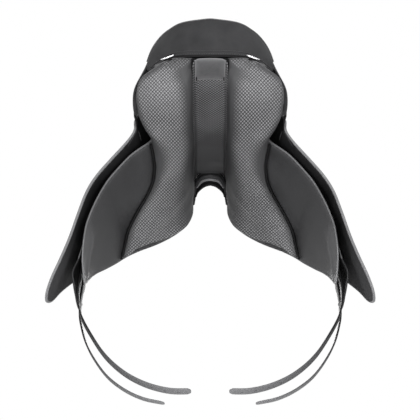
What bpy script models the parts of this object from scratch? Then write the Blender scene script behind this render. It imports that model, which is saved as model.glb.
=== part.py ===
"""A synthetic stock saddle seen whole: seat, tree, panels, flaps, skirts, knee pads, girth straps and dees.

Metres, +Z up, +Y towards the pommel, +X to the rider's right. The origin is in the middle of the gullet
channel, where a saddle rack or the horse's spine runs. Control points give X as a distance from the centre
plane, so one set of numbers builds both sides.
"""

import math

import bmesh
import bpy
from mathutils import Matrix, Vector

# Thicknesses and driving sizes, in metres
SEAT_THICK = 0.012
SEAT_SIDE_SHARES = (0.3, 0.45, 0.8, 1.0)
TREE_THICK = 0.008
CANTLE_PLATE_THICK = 0.005
CANTLE_BACK_THICK = 0.004
SWEAT_THICK = 0.003
FLAP_THICK = 0.004
SKIRT_THICK = 0.0035
SKIRT_LIFT = 0.0054
STRAP_WIDTH = 0.024
STRAP_THICK = 0.0032
STRAP_OFFSET = 0.0075
WEB_OFFSET = 0.0049
GUARD_THICK = 0.0025
KEEPER_CLEARANCE = 0.0008
KEEPER_WALL = 0.0014
KEEPER_LENGTH = 0.018
LINING_THICK = 0.0016
PIPING_RADIUS = 0.0023
WELT_RADIUS = 0.0032
STRAP_REAR_Y = 0.0
STRAP_FRONT_Y = 0.045
HOLE_RADIUS = 0.0025
HOLE_PITCH = 0.025
HOLE_COUNT = 7
HOLE_END_DISTANCE = 0.022
WEB_WIDTH = 0.036
WEB_THICK = 0.002
WIRE_RADIUS = 0.002
BAR_SHARE = 0.935
DEE_WIDTH = 0.028
DEE_DEPTH = 0.020
REAR_DEE_LEAN = Vector((-0.032, -0.769, -0.638))

# Hinge line of a flap and its skirt: X and Z at two stations along the seat's edge
HINGE_REAR = (0.126, -0.080, -0.008)
HINGE_FRONT = (0.066, 0.190, -0.002)
HINGE_MIDDLE_Y = 0.055

# Inner face of the sweat flap, as (X, Z) down the horse's side, at a rear and a front station
SIDE_REAR_Y = -0.075
SIDE_FRONT_Y = 0.130
SIDE_REAR = [(0.112, 0.0), (0.117, -0.028), (0.125, -0.057), (0.144, -0.081), (0.163, -0.101),
             (0.184, -0.133), (0.202, -0.164), (0.217, -0.199), (0.229, -0.234), (0.2366, -0.268),
             (0.2407, -0.303), (0.2425, -0.335), (0.242, -0.372)]
SIDE_FRONT = [(0.066, 0.0), (0.070, -0.028), (0.077, -0.057), (0.095, -0.081), (0.115, -0.101),
              (0.150, -0.133), (0.172, -0.164), (0.181, -0.199), (0.192, -0.234), (0.208, -0.268),
              (0.226, -0.303), (0.235, -0.335), (0.238, -0.372)]
# Extra turn inward of the same face ahead of a station, full at the front edge
SIDE_TURN_Y = (0.120, 0.236)
SIDE_TURN = [(0.003, 0.0), (0.005, 0.0), (0.008, 0.0), (0.012, 0.0), (0.022, 0.0), (0.040, 0.0), (0.048, 0.0),
             (0.030, 0.0), (0.0, 0.0), (0.0, 0.0), (0.0, 0.0), (0.0, 0.0), (0.0, 0.0)]
SWEAT_REAR_EDGE = [(1.3, -0.050), (2, -0.052), (3, -0.060), (4, -0.066), (5, -0.073), (6, -0.078),
                   (7, -0.080), (8, -0.078), (9, -0.073), (10, -0.063), (10.7, -0.052), (11.3, -0.038),
                   (11.75, -0.020)]
SWEAT_FRONT_EDGE = [(1.3, 0.236), (2, 0.237), (3, 0.236), (4, 0.232), (5, 0.219), (6, 0.196),
                    (7, 0.1645), (8, 0.134), (9, 0.102), (10, 0.066), (10.7, 0.044), (11.3, 0.022),
                    (11.75, -0.001)]

# Inner face of the outer flap, at a rear and a front station
FLAP_REAR_Y = -0.090
FLAP_FRONT_Y = 0.130
FLAP_REAR = [(0.128, -0.008), (0.1435, -0.0200), (0.148, -0.038), (0.149, -0.058), (0.1635, -0.085),
             (0.1945, -0.131), (0.2195, -0.170), (0.2366, -0.2075), (0.2505, -0.2566), (0.2635, -0.305),
             (0.280, -0.350), (0.2965, -0.382), (0.3105, -0.4045)]
FLAP_FRONT = [(0.079, -0.004), (0.086, -0.024), (0.096, -0.046), (0.112, -0.068), (0.133, -0.090),
              (0.166, -0.121), (0.191, -0.155), (0.207, -0.193), (0.226, -0.232), (0.246, -0.265),
              (0.268, -0.303), (0.284, -0.342), (0.302, -0.385)]
FLAP_REAR_EDGE = [(0, -0.042), (0.5, -0.070), (1, -0.090), (2, -0.093), (3, -0.090), (4, -0.088),
                  (5, -0.090), (6, -0.092), (7, -0.093), (8, -0.092), (9, -0.088), (10, -0.078),
                  (11, -0.062), (11.7, -0.044),
                  (12.15, -0.026)]
FLAP_FRONT_EDGE = [(0, 0.196), (1, 0.214), (2, 0.230), (3, 0.241), (4, 0.246), (5, 0.240),
                   (6, 0.217), (7, 0.184), (8, 0.150), (9, 0.114), (10, 0.070), (11, 0.032),
                   (11.7, 0.020), (12.15, 0.006)]
NOTCH_Y = (0.060, 0.156)
NOTCH_INDEX = 1.75

# Skirt outline over the flap, in the flap's own grid
SKIRT_REAR_EDGE = [(0.15, -0.042), (0.5, -0.052), (0.9, -0.068), (1.6, -0.084), (2.4, -0.068), (3.1, -0.032),
                   (3.6, 0.010)]
SKIRT_FRONT_EDGE = [(0.15, 0.147), (0.5, 0.149), (0.9, 0.150), (1.6, 0.148), (2.4, 0.138), (3.1, 0.118),
                    (3.6, 0.086)]
SKIRT_BULGE = 0.011
SKIRT_BULGE_AT = (0.110, 1.1)
SKIRT_BULGE_SPREAD = (0.060, 1.3)

# Top of the seat: half rows from the centre line to the edge, cantle rim first, pommel last
SEAT_ROWS = [
    [(0.000, -0.240, 0.1000), (0.053, -0.232, 0.0970), (0.081, -0.218, 0.0905), (0.1005, -0.203, 0.0815),
     (0.117, -0.188, 0.062), (0.129, -0.177, 0.027)],
    [(0.000, -0.226, 0.1070), (0.050, -0.219, 0.1040), (0.076, -0.206, 0.0975), (0.095, -0.191, 0.088),
     (0.116, -0.174, 0.058), (0.1475, -0.158, 0.003)],
    [(0.000, -0.207, 0.099), (0.045, -0.201, 0.097), (0.070, -0.190, 0.091), (0.094, -0.172, 0.075),
     (0.125, -0.154, 0.038), (0.1535, -0.136, -0.010)],
    [(0.000, -0.180, 0.076), (0.040, -0.176, 0.076), (0.068, -0.166, 0.072), (0.098, -0.150, 0.057),
     (0.130, -0.131, 0.022), (0.1510, -0.110, -0.034)],
    [(0.000, -0.140, 0.058), (0.040, -0.138, 0.058), (0.072, -0.130, 0.054), (0.102, -0.118, 0.041),
     (0.124, -0.100, 0.020), (0.1395, -0.084, -0.007)],
    [(0.000, -0.080, 0.046), (0.034, -0.078, 0.046), (0.062, -0.072, 0.042), (0.086, -0.062, 0.031),
     (0.104, -0.048, 0.018), (0.113, -0.034, 0.006)],
    [(0.000, -0.010, 0.042), (0.030, -0.009, 0.042), (0.056, -0.004, 0.038), (0.076, 0.002, 0.028),
     (0.090, 0.010, 0.017), (0.099, 0.018, 0.006)],
    [(0.000, 0.060, 0.046), (0.026, 0.060, 0.045), (0.048, 0.060, 0.040), (0.066, 0.062, 0.030),
     (0.079, 0.066, 0.018), (0.087, 0.070, 0.007)],
    [(0.000, 0.130, 0.057), (0.022, 0.130, 0.056), (0.042, 0.130, 0.049), (0.058, 0.130, 0.037),
     (0.070, 0.130, 0.022), (0.076, 0.130, 0.0085)],
    [(0.000, 0.185, 0.071), (0.020, 0.185, 0.069), (0.038, 0.184, 0.060), (0.052, 0.182, 0.046),
     (0.062, 0.180, 0.028), (0.0675, 0.178, 0.010)],
    [(0.000, 0.212, 0.079), (0.018, 0.211, 0.077), (0.034, 0.208, 0.068), (0.048, 0.204, 0.052),
     (0.058, 0.200, 0.032), (0.064, 0.197, 0.012)],
    [(0.000, 0.228, 0.071), (0.016, 0.227, 0.069), (0.031, 0.223, 0.060), (0.044, 0.218, 0.046),
     (0.054, 0.212, 0.028), (0.060, 0.208, 0.010)],
    [(0.000, 0.234, 0.052), (0.015, 0.233, 0.050), (0.029, 0.230, 0.043), (0.041, 0.224, 0.031),
     (0.051, 0.217, 0.018), (0.057, 0.212, 0.006)],
]
CANTLE_BACK_FOOT = [(0.000, -0.2275, 0.0285), (0.050, -0.2255, 0.0265), (0.078, -0.2165, 0.0235),
                    (0.100, -0.2015, 0.0205), (0.114, -0.1885, 0.0185), (0.1215, -0.1790, 0.0200)]

# Top of the tree: half sections (X, Z) at stations along Y
TREE_STATIONS = [
    (-0.212, [(0.0, 0.027), (0.040, 0.026), (0.072, 0.022), (0.096, 0.015), (0.108, 0.009)]),
    (-0.160, [(0.0, 0.027), (0.042, 0.026), (0.078, 0.022), (0.106, 0.013), (0.122, 0.004)]),
    (-0.100, [(0.0, 0.027), (0.038, 0.025), (0.072, 0.019), (0.098, 0.008), (0.116, -0.006)]),
    (-0.040, [(0.0, 0.0255), (0.034, 0.0235), (0.062, 0.018), (0.084, 0.006), (0.098, -0.008)]),
    (0.020, [(0.0, 0.0255), (0.030, 0.0235), (0.054, 0.017), (0.072, 0.005), (0.084, -0.010)]),
    (0.080, [(0.0, 0.0295), (0.026, 0.0265), (0.047, 0.018), (0.062, 0.003), (0.072, -0.014)]),
    (0.130, [(0.0, 0.040), (0.023, 0.036), (0.042, 0.023), (0.056, 0.004), (0.065, -0.018)]),
    (0.165, [(0.0, 0.050), (0.021, 0.046), (0.038, 0.031), (0.050, 0.007), (0.057, -0.020)]),
    (0.202, [(0.0, 0.058), (0.020, 0.053), (0.036, 0.037), (0.048, 0.012), (0.054, -0.016)]),
]

# Panel sections: Y, four points (X, Z) of the top from the channel outward, height of the lower seam,
# three points of the bearing face and its inner edge at the channel
PANEL_STATIONS = [
    (-0.219, [(0.039, 0.0095), (0.055, 0.0105), (0.070, 0.0095), (0.081, 0.0080)], 0.003,
     [(0.084, -0.003), (0.066, -0.006), (0.050, -0.002)], (0.039, 0.005)),
    (-0.207, [(0.0375, 0.0120), (0.066, 0.0100), (0.088, 0.0010), (0.1015, -0.0045)], -0.006,
     [(0.098, -0.021), (0.072, -0.027), (0.050, -0.021)], (0.038, -0.004)),
    (-0.180, [(0.037, 0.0140), (0.070, 0.0110), (0.098, 0.0030), (0.1110, -0.0055)], -0.013,
     [(0.112, -0.034), (0.080, -0.042), (0.052, -0.034)], (0.037, -0.010)),
    (-0.140, [(0.037, 0.0140), (0.072, 0.0100), (0.099, -0.0015), (0.1160, -0.0130)], -0.023,
     [(0.118, -0.042), (0.084, -0.048), (0.052, -0.038)], (0.037, -0.012)),
    (-0.100, [(0.037, 0.0140), (0.068, 0.0080), (0.092, -0.0035), (0.1095, -0.0180)], -0.040,
     [(0.113, -0.052), (0.082, -0.050), (0.052, -0.038)], (0.037, -0.012)),
    (-0.060, [(0.037, 0.0140), (0.062, 0.0070), (0.083, -0.0045), (0.0975, -0.0185)], -0.058,
     [(0.104, -0.064), (0.078, -0.053), (0.052, -0.037)], (0.037, -0.012)),
    (-0.020, [(0.037, 0.0140), (0.057, 0.0070), (0.074, -0.0045), (0.0865, -0.0190)], -0.065,
     [(0.096, -0.068), (0.072, -0.055), (0.050, -0.037)], (0.037, -0.012)),
    (0.020, [(0.037, 0.0120), (0.052, 0.0060), (0.066, -0.0050), (0.0770, -0.0195)], -0.074,
     [(0.095, -0.076), (0.071, -0.059), (0.050, -0.038)], (0.037, -0.012)),
    (0.060, [(0.037, 0.0090), (0.047, 0.0030), (0.058, -0.0070), (0.0680, -0.0210)], -0.093,
     [(0.103, -0.092), (0.074, -0.068), (0.051, -0.042)], (0.037, -0.012)),
    (0.095, [(0.037, 0.0050), (0.045, -0.0030), (0.054, -0.0120), (0.0620, -0.0235)], -0.127,
     [(0.123, -0.120), (0.085, -0.084), (0.054, -0.049)], (0.037, -0.013)),
    (0.120, [(0.037, 0.0000), (0.044, -0.0090), (0.051, -0.0180), (0.0580, -0.0260)], -0.162,
     [(0.143, -0.152), (0.095, -0.104), (0.056, -0.058)], (0.037, -0.014)),
    (0.138, [(0.037, -0.0040), (0.043, -0.0140), (0.049, -0.0230), (0.0550, -0.0290)], -0.2205,
     [(0.163, -0.203), (0.106, -0.131), (0.057, -0.067)], (0.037, -0.015)),
    (0.152, [(0.037, -0.0060), (0.042, -0.0160), (0.047, -0.0250), (0.0530, -0.0300)], -0.203,
     [(0.152, -0.184), (0.101, -0.124), (0.057, -0.067)], (0.037, -0.016)),
    (0.165, [(0.037, -0.0070), (0.0415, -0.0160), (0.046, -0.0250), (0.0510, -0.0300)], -0.188,
     [(0.147, -0.170), (0.098, -0.118), (0.057, -0.066)], (0.037, -0.018)),
    (0.180, [(0.037, -0.0080), (0.041, -0.0160), (0.045, -0.0250), (0.0490, -0.0300)], -0.171,
     [(0.131, -0.152), (0.088, -0.107), (0.054, -0.064)], (0.037, -0.019)),
    (0.195, [(0.037, -0.0090), (0.040, -0.0170), (0.043, -0.0250), (0.0470, -0.0300)], -0.151,
     [(0.1105, -0.134), (0.075, -0.098), (0.0485, -0.061)], (0.037, -0.020)),
    (0.210, [(0.0375, -0.0110), (0.0395, -0.0180), (0.042, -0.0250), (0.0445, -0.0300)], -0.133,
     [(0.0855, -0.117), (0.061, -0.087), (0.0450, -0.057)], (0.037, -0.021)),
    (0.222, [(0.0375, -0.0130), (0.0390, -0.0190), (0.0405, -0.0250), (0.0420, -0.0300)], -0.114,
     [(0.0655, -0.099), (0.052, -0.077), (0.0410, -0.053)], (0.037, -0.022)),
    (0.232, [(0.0375, -0.0160), (0.0380, -0.0210), (0.0385, -0.0260), (0.0390, -0.0300)], -0.092,
     [(0.0510, -0.080), (0.044, -0.065), (0.0390, -0.048)], (0.0372, -0.026)),
]
# Outer wall of the panel behind the sweat flap: upper, middle and lower points of the first six sections
PANEL_REAR_WALL = [
    [(0.0900, 0.0070), (0.0950, 0.0055), (0.0940, 0.0020)],
    [(0.1100, -0.0010), (0.1165, -0.0030), (0.1155, -0.0080)],
    [(0.1300, 0.0010), (0.1375, -0.0050), (0.1365, -0.0130)],
    [(0.1400, -0.0085), (0.1458, -0.0160), (0.1430, -0.0230)],
    [(0.1340, -0.0205), (0.1400, -0.0300), (0.1375, -0.0400)],
    [(0.1120, -0.0330), (0.1160, -0.0460), (0.1185, -0.0580)],
]
PANEL_TOP_INDEX = 1.05
PANEL_GAP = 0.0027

# Free part of a girth strap below the flap, as (X, Z)
STRAP_STRAIGHT = [(0.2405, -0.260), (0.2465, -0.3125), (0.2525, -0.365)]
STRAP_FREE = [(0.2518, -0.400), (0.2455, -0.430), (0.2277, -0.466), (0.1965, -0.5145), (0.159, -0.5505),
              (0.118, -0.5735), (0.075, -0.5855), (0.036, -0.5865)]
STRAP_FREE_FRONT = [(0.2525, -0.400), (0.2480, -0.430), (0.2325, -0.477), (0.2005, -0.528), (0.167, -0.5588),
                    (0.128, -0.5798), (0.086, -0.590)]
REAR_STRAP_TWIST = math.radians(-2.0)
FRONT_STRAP_TWIST = math.radians(-15.0)


def clear_scene():
    for obj in list(bpy.data.objects):
        bpy.data.objects.remove(obj)


def make_collection(name):
    found = bpy.data.collections.new(name)
    bpy.context.scene.collection.children.link(found)
    return found


def make_material(name, colour, roughness, metallic=0.0):
    made = bpy.data.materials.new(name)
    made.use_nodes = True
    shader = made.node_tree.nodes["Principled BSDF"]
    shader.inputs["Base Color"].default_value = (*colour, 1.0)
    shader.inputs["Roughness"].default_value = roughness
    shader.inputs["Metallic"].default_value = metallic
    return made


clear_scene()
PARTS = make_collection("stock_saddle")
CUTTERS = make_collection("cutters")
LEATHER = make_material("smooth_synthetic", (0.035, 0.035, 0.037), 0.45)
PANEL_LEATHER = make_material("textured_synthetic", (0.055, 0.055, 0.058), 0.5)
SUEDE = make_material("synthetic_suede", (0.03, 0.03, 0.032), 0.9)
WEBBING = make_material("webbing", (0.06, 0.06, 0.06), 0.8)
POLYMER = make_material("tree_polymer", (0.02, 0.02, 0.022), 0.4)
STEEL = make_material("stainless_steel", (0.75, 0.75, 0.76), 0.2, 1.0)


def spline(points, t):
    """Point at t on a smooth curve through equally spaced control points; t runs from 0 to their count less 1."""
    last = len(points) - 1
    i = max(0, min(int(math.floor(t)), last - 1))
    f = t - i
    p = [Vector(points[max(0, min(k, last))]) for k in (i - 1, i, i + 1, i + 2)]
    if i == 0:
        p[0] = 2 * p[1] - p[2]
    if i == last - 1:
        p[3] = 2 * p[2] - p[1]
    if f < 0.0 or f > 1.0:
        return p[1] + (p[2] - p[1]) * f
    return 0.5 * (2 * p[1] + (p[2] - p[0]) * f + (2 * p[0] - 5 * p[1] + 4 * p[2] - p[3]) * f * f
                  + (3 * p[1] - p[0] - 3 * p[2] + p[3]) * f ** 3)


def edge_value(table, i):
    """Y of an outline at row index i, read smoothly from (index, Y) pairs."""
    keys = [k for k, _ in table]
    values = [(v, 0.0) for _, v in table]
    j = 0
    while j < len(keys) - 2 and i > keys[j + 1]:
        j += 1
    share = (i - keys[j]) / (keys[j + 1] - keys[j])
    return spline(values, j + max(0.0, min(1.0, share))).x


def blend_profiles(rear, front, rear_y, front_y, y, i):
    """Point (X, y, Z) between two side profiles."""
    a = spline(rear, i)
    b = spline(front, i)
    t = (y - rear_y) / (front_y - rear_y)
    x = a.x + (b.x - a.x) * t
    z = a.y + (b.y - a.y) * t
    return Vector((x, y, z))


def side_point(y, i):
    p = blend_profiles(SIDE_REAR, SIDE_FRONT, SIDE_REAR_Y, SIDE_FRONT_Y, y, i)
    past = max(0.0, (y - SIDE_TURN_Y[0]) / (SIDE_TURN_Y[1] - SIDE_TURN_Y[0]))
    p.x -= spline(SIDE_TURN, i).x * past * past
    return p


def side_index(y, z):
    """Row index of the side surface at which it reaches a height."""
    low, high = 0.0, len(SIDE_REAR) - 1.0
    for _ in range(30):
        middle = (low + high) / 2
        if side_point(y, middle).z > z:
            low = middle
        else:
            high = middle
    return low


def flap_point(y, i):
    return blend_profiles(FLAP_REAR, FLAP_FRONT, FLAP_REAR_Y, FLAP_FRONT_Y, y, i)


def outward(surface, y, i):
    """Unit normal of a side surface, pointing away from the horse."""
    step = 0.02
    along = surface(y + 0.002, i) - surface(y - 0.002, i)
    down = surface(y, i + step) - surface(y, i - step)
    return down.cross(along).normalized()


def lifted(surface, y, i, distance):
    return surface(y, i) + outward(surface, y, i) * distance


def seat_point(r, u):
    """Top of the seat at row r and signed share u of its half width, from -1 at the left to 1 at the right."""
    across = abs(u) * (len(SEAT_ROWS[0]) - 1)
    column = [spline(row, across) for row in SEAT_ROWS]
    p = spline(column, r)
    return Vector((math.copysign(p.x, u) if u else 0.0, p.y, p.z))


def seat_lowered(r, u, distance):
    """A point under the seat's top, along its normal."""
    along = seat_point(r + 0.05, u) - seat_point(r - 0.05, u)
    across = seat_point(r, u + 0.02) - seat_point(r, u - 0.02)
    return seat_point(r, u) - across.cross(along).normalized() * distance


def tree_point(y, c):
    """Top of the tree at station y and signed share c of its half width."""
    ys = [station for station, _ in TREE_STATIONS]
    j = 0
    while j < len(ys) - 2 and y > ys[j + 1]:
        j += 1
    t = j + (y - ys[j]) / (ys[j + 1] - ys[j])
    across = abs(c) * (len(TREE_STATIONS[0][1]) - 1)
    p = spline([spline(section, across) for _, section in TREE_STATIONS], t)
    return Vector((math.copysign(p.x, c) if c else 0.0, y, p.y))


def tree_lowered(y, c, distance):
    along = tree_point(y + 0.004, c) - tree_point(y - 0.004, c)
    across = tree_point(y, c + 0.02) - tree_point(y, c - 0.02)
    return tree_point(y, c) - across.cross(along).normalized() * distance


def add_object(name, mesh, material):
    obj = bpy.data.objects.new(name, mesh)
    PARTS.objects.link(obj)
    mesh.materials.append(material)
    return obj


def mesh_from(name, points, faces):
    mesh = bpy.data.meshes.new(name)
    mesh.from_pydata([tuple(p) for p in points], [], faces)
    mesh.update()
    return mesh


def smooth(mesh, degrees=35.0):
    mesh.shade_smooth()
    mesh.set_sharp_from_angle(angle=math.radians(degrees))


def sheet(name, rows, thickness, material, towards):
    """A sheet of even thickness: an open grid of rows, thickened by Solidify to the side of a direction."""
    width = len(rows[0])
    points = [p for row in rows for p in row]
    faces = []
    for r in range(len(rows) - 1):
        for c in range(width - 1):
            a = r * width + c
            faces.append([a, a + 1, a + width + 1, a + width])
    mesh = mesh_from(name, points, faces)
    middle = mesh.polygons[len(mesh.polygons) // 2]
    if middle.normal.dot(Vector(towards)) < 0:
        mesh.flip_normals()
    obj = add_object(name, mesh, material)
    smooth(obj.data)
    solid = obj.modifiers.new("thickness", "SOLIDIFY")
    solid.thickness = thickness
    solid.offset = 1.0
    solid.use_even_offset = True
    return obj


def outward_faces(mesh):
    """Turns every face of a closed mesh to point out."""
    bm = bmesh.new()
    bm.from_mesh(mesh)
    bmesh.ops.recalc_face_normals(bm, faces=bm.faces)
    bm.to_mesh(mesh)
    bm.free()


def loft(name, loops, material, degrees=35.0):
    """A solid through closed loops of equal length, capped at both ends."""
    count = len(loops[0])
    points = [p for loop in loops for p in loop]
    faces = [list(range(count))[::-1]]
    for k in range(len(loops) - 1):
        for c in range(count):
            a = k * count + c
            b = k * count + (c + 1) % count
            faces.append([a, b, b + count, a + count])
    faces.append([(len(loops) - 1) * count + c for c in range(count)])
    mesh = mesh_from(name, points, faces)
    outward_faces(mesh)
    smooth(mesh, degrees)
    return add_object(name, mesh, material)


def swept_bar(name, centres, wides, half_widths, half_thicks, material):
    """A flat bar along a line of centres; wides gives the direction of its width at each one."""
    loops = []
    last = len(centres) - 1
    for k, centre in enumerate(centres):
        along = (centres[min(k + 1, last)] - centres[max(k - 1, 0)]).normalized()
        wide = (wides[k] - along * wides[k].dot(along)).normalized()
        thick = along.cross(wide)
        w = wide * half_widths[k]
        t = thick * half_thicks[k]
        loops.append([centre - w - t, centre + w - t, centre + w + t, centre - w + t])
    return loft(name, loops, material)


def mirrored(p, side):
    return Vector((p.x * side, p.y, p.z))


def side_name(base, side):
    return f"{base}_{'right' if side > 0 else 'left'}"


def tube(name, points, radius, material, closed=False, resolution=1):
    """A round wire along a list of points: a curve with a bevel and filled ends."""
    data = bpy.data.curves.new(name, "CURVE")
    data.dimensions = "3D"
    data.bevel_depth = radius
    data.bevel_resolution = resolution
    data.use_fill_caps = True
    line = data.splines.new("POLY")
    line.points.add(len(points) - 1)
    for point, p in zip(line.points, points):
        point.co = (*p, 1.0)
    line.use_cyclic_u = closed
    obj = bpy.data.objects.new(name, data)
    PARTS.objects.link(obj)
    data.materials.append(material)
    return obj


def make_cutter(name, mesh):
    obj = bpy.data.objects.new(name, mesh)
    CUTTERS.objects.link(obj)
    obj.hide_render = True
    obj.display_type = "WIRE"
    return obj


def cut(target, cutter):
    tool = target.modifiers.new("cut", "BOOLEAN")
    tool.operation = "DIFFERENCE"
    tool.solver = "EXACT"
    tool.object = cutter


def box_mesh(name, size):
    bm = bmesh.new()
    bmesh.ops.create_cube(bm, size=1.0)
    bmesh.ops.scale(bm, vec=size, verts=bm.verts)
    mesh = bpy.data.meshes.new(name)
    bm.to_mesh(mesh)
    bm.free()
    return mesh


def cylinders_mesh(name, placements, radius, length, segments):
    """Several cylinders as one mesh, each along the Z axis of its placement."""
    bm = bmesh.new()
    for placement in placements:
        bmesh.ops.create_cone(bm, cap_ends=True, segments=segments, radius1=radius, radius2=radius,
                              depth=length, matrix=placement)
    mesh = bpy.data.meshes.new(name)
    bm.to_mesh(mesh)
    bm.free()
    return mesh


def placement(origin, normal, along):
    """A frame with its Z axis on the normal and its X axis near a direction."""
    z = normal.normalized()
    y = z.cross(along).normalized()
    x = y.cross(z)
    return Matrix.Translation(origin) @ Matrix((x, y, z)).transposed().to_4x4()


def set_origin(obj, origin):
    """Moves an object's origin without moving its shape."""
    obj.data.transform(Matrix.Translation(-Vector(origin)))
    obj.location = origin


def hinge_point(y):
    t = (y - HINGE_REAR[1]) / (HINGE_FRONT[1] - HINGE_REAR[1])
    return Vector((HINGE_REAR[0] + (HINGE_FRONT[0] - HINGE_REAR[0]) * t, y,
                   HINGE_REAR[2] + (HINGE_FRONT[2] - HINGE_REAR[2]) * t))


def build_seat():
    """Padded seat cover: one shell, thinner at its rim, from the rolled cantle to the pommel's nose."""
    steps = [0, 0.5, 1, 1.5, 2.1, 2.8, 3.5, 4.3, 5.1, 5.9, 6.7, 7.5, 8.3, 9.1, 9.9, 10.5, 11, 11.5, 12]
    rows = [[seat_point(r, -1 + 2 * c / 14) for c in range(15)] for r in steps]
    obj = sheet("seat", rows, SEAT_THICK, SUEDE, (0, 0, -1))
    share = obj.vertex_groups.new(name="share")
    for k in range(len(steps)):
        for c in range(15):
            near_rim = min(1.0, 0.35 + 0.22 * k)
            share.add([k * 15 + c], min(near_rim, SEAT_SIDE_SHARES[min(c, 14 - c, 3)]), "REPLACE")
    obj.modifiers["thickness"].vertex_group = "share"
    obj.modifiers["thickness"].use_even_offset = False


def build_tree():
    """Moulded tree: two rails joined by the head in front and the gusset behind, with a slot between them."""
    stations = [-0.212 + 0.414 * k / 18 for k in range(19)]
    rows = [[tree_point(y, -1 + 2 * c / 12) for c in range(13)] for y in stations]
    obj = sheet("tree", rows, TREE_THICK, POLYMER, (0, 0, -1))
    slot = make_cutter("tree_slot_cutter", box_mesh("tree_slot_cutter", (0.034, 0.13, 0.12)))
    slot.location = (0.0, -0.105, 0.02)
    cut(obj, slot)


def build_cantle():
    """Board that stiffens the cantle, its back cover and the welt round the rim."""
    clear = SEAT_THICK + 0.0026
    rows = [[seat_lowered(r, -0.8 + 1.6 * c / 10, clear) for c in range(11)] for r in (1.2, 1.7, 2.3, 2.9)]
    sheet("cantle_board", rows, CANTLE_PLATE_THICK, POLYMER, (0, -0.3, -1))
    back = []
    shares = [-0.94 + 1.88 * c / 16 for c in range(17)]
    for r in range(5):
        row = []
        for u in shares:
            foot = spline(CANTLE_BACK_FOOT, abs(u) * 5)
            foot.x = math.copysign(foot.x, u)
            top = seat_lowered(0, u, 0.0068) + Vector((0.0, 0.0014, 0.0))
            p = top.lerp(foot, r / 4)
            p.y -= 0.0035 * math.sin(math.pi * r / 4)
            row.append(p)
        back.append(row)
    sheet("cantle_back", back, CANTLE_BACK_THICK, SUEDE, (0, 1, 0))
    rim = []
    for k in range(31):
        u = -0.90 + 1.80 * k / 30
        edge = seat_lowered(0, u, 0.0022)
        middle = seat_point(0, 0)
        away = Vector((0.0, -0.0031, 0.0))
        away += (edge - Vector((0.0, edge.y, middle.z - 0.06))).normalized() * 0.0006
        rim.append(edge + away)
    tube("cantle_welt", rim, 0.0018, LEATHER)


def build_pommel():
    """Leather facing that closes the head in front, and the piping along its lower edge."""
    outer = [(0.000, 0.2290, 0.0420), (0.015, 0.2280, 0.0400), (0.028, 0.2250, 0.0330), (0.038, 0.2195, 0.0220),
             (0.046, 0.2130, 0.0100), (0.0515, 0.2080, 0.0010)]
    front = [(0.000, 0.2300, 0.0290), (0.013, 0.2295, 0.0272), (0.024, 0.2280, 0.0215), (0.033, 0.2250, 0.0100),
             (0.0365, 0.2220, -0.0020), (0.0345, 0.2190, -0.0070)]
    arch = [(0.000, 0.2240, 0.0190), (0.011, 0.2236, 0.0172), (0.021, 0.2228, 0.0120), (0.0285, 0.2210, 0.0010),
            (0.0315, 0.2190, -0.0060), (0.0325, 0.2170, -0.0120)]
    inner = [(0.000, 0.2050, 0.0245), (0.011, 0.2050, 0.0225), (0.021, 0.2050, 0.0170), (0.0285, 0.2050, 0.0060),
             (0.0315, 0.2050, -0.0040), (0.0325, 0.2050, -0.0120)]
    back = [(0.000, 0.1760, 0.0270), (0.011, 0.1760, 0.0250), (0.021, 0.1760, 0.0190), (0.0285, 0.1760, 0.0080),
            (0.0315, 0.1760, -0.0040), (0.0325, 0.1760, -0.0120)]
    rows = []
    for line in (outer, front, arch, inner, back):
        row = []
        for k in range(17):
            u = -1 + 2 * k / 16
            p = spline(line, abs(u) * 5)
            row.append(mirrored(p, 1 if u >= 0 else -1))
        rows.append(row)
    sheet("pommel_facing", rows, 0.002, LEATHER, (0, 0, 1))
    edge = []
    for k in range(25):
        u = -1 + 2 * k / 24
        p = spline(arch, abs(u) * 5)
        edge.append(mirrored(p, 1 if u >= 0 else -1) + Vector((0.0, -0.0012, 0.0)) - p_inward(p, u, 0.0030))
    tube("pommel_piping", edge, 0.0018, LEATHER)


def p_inward(p, u, distance):
    """Step from the arch edge away from the channel's middle."""
    away = Vector((abs(p.x), 0.0, p.z + 0.03)).normalized() * distance
    return mirrored(away, 1 if u >= 0 else -1)


def lining_height(y):
    heights = [(-0.222, 0.0165), (-0.180, 0.0110), (-0.120, 0.0050), (-0.060, 0.0015), (0.0, 0.0), (0.060, 0.0010),
               (0.110, 0.0065), (0.150, 0.0150), (0.172, 0.0210)]
    return edge_value(heights, y)


def build_lining():
    """Channel lining between the panels, and the tab that covers its rear end."""
    section = [(0.0, 0.0), (0.012, 0.0003), (0.021, 0.0012), (0.028, 0.0042), (0.0322, 0.0105), (0.0335, 0.0200)]
    rows = []
    for k in range(15):
        y = -0.221 + 0.391 * k / 14
        rows.append(arched_row(section, y, lining_height(y), 5))
    sheet("channel_lining", rows, LINING_THICK, PANEL_LEATHER, (0, 0, 1))
    section = [(0.0, 0.0), (0.010, 0.0002), (0.018, 0.0008), (0.0240, 0.0026), (0.0282, 0.0064)]
    rows = []
    for y, lift in ((-0.160, 0.0), (-0.176, 0.0), (-0.195, 0.0), (-0.212, 0.0), (-0.2240, 0.0008), (-0.2290, 0.0060)):
        height = lining_height(max(y, -0.222)) - 0.0011 + lift
        rows.append(arched_row(section, y, height, 4))
    sheet("rear_tab", rows, 0.002, LEATHER, (0, 0, -1))


def arched_row(section, y, height, last):
    """Row of points across an arch whose section is given as X and depth below its crown."""
    row = []
    for k in range(-last, last + 1):
        x, drop = section[abs(k)]
        row.append(Vector((math.copysign(x, k), y, height - drop)))
    return row


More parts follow.
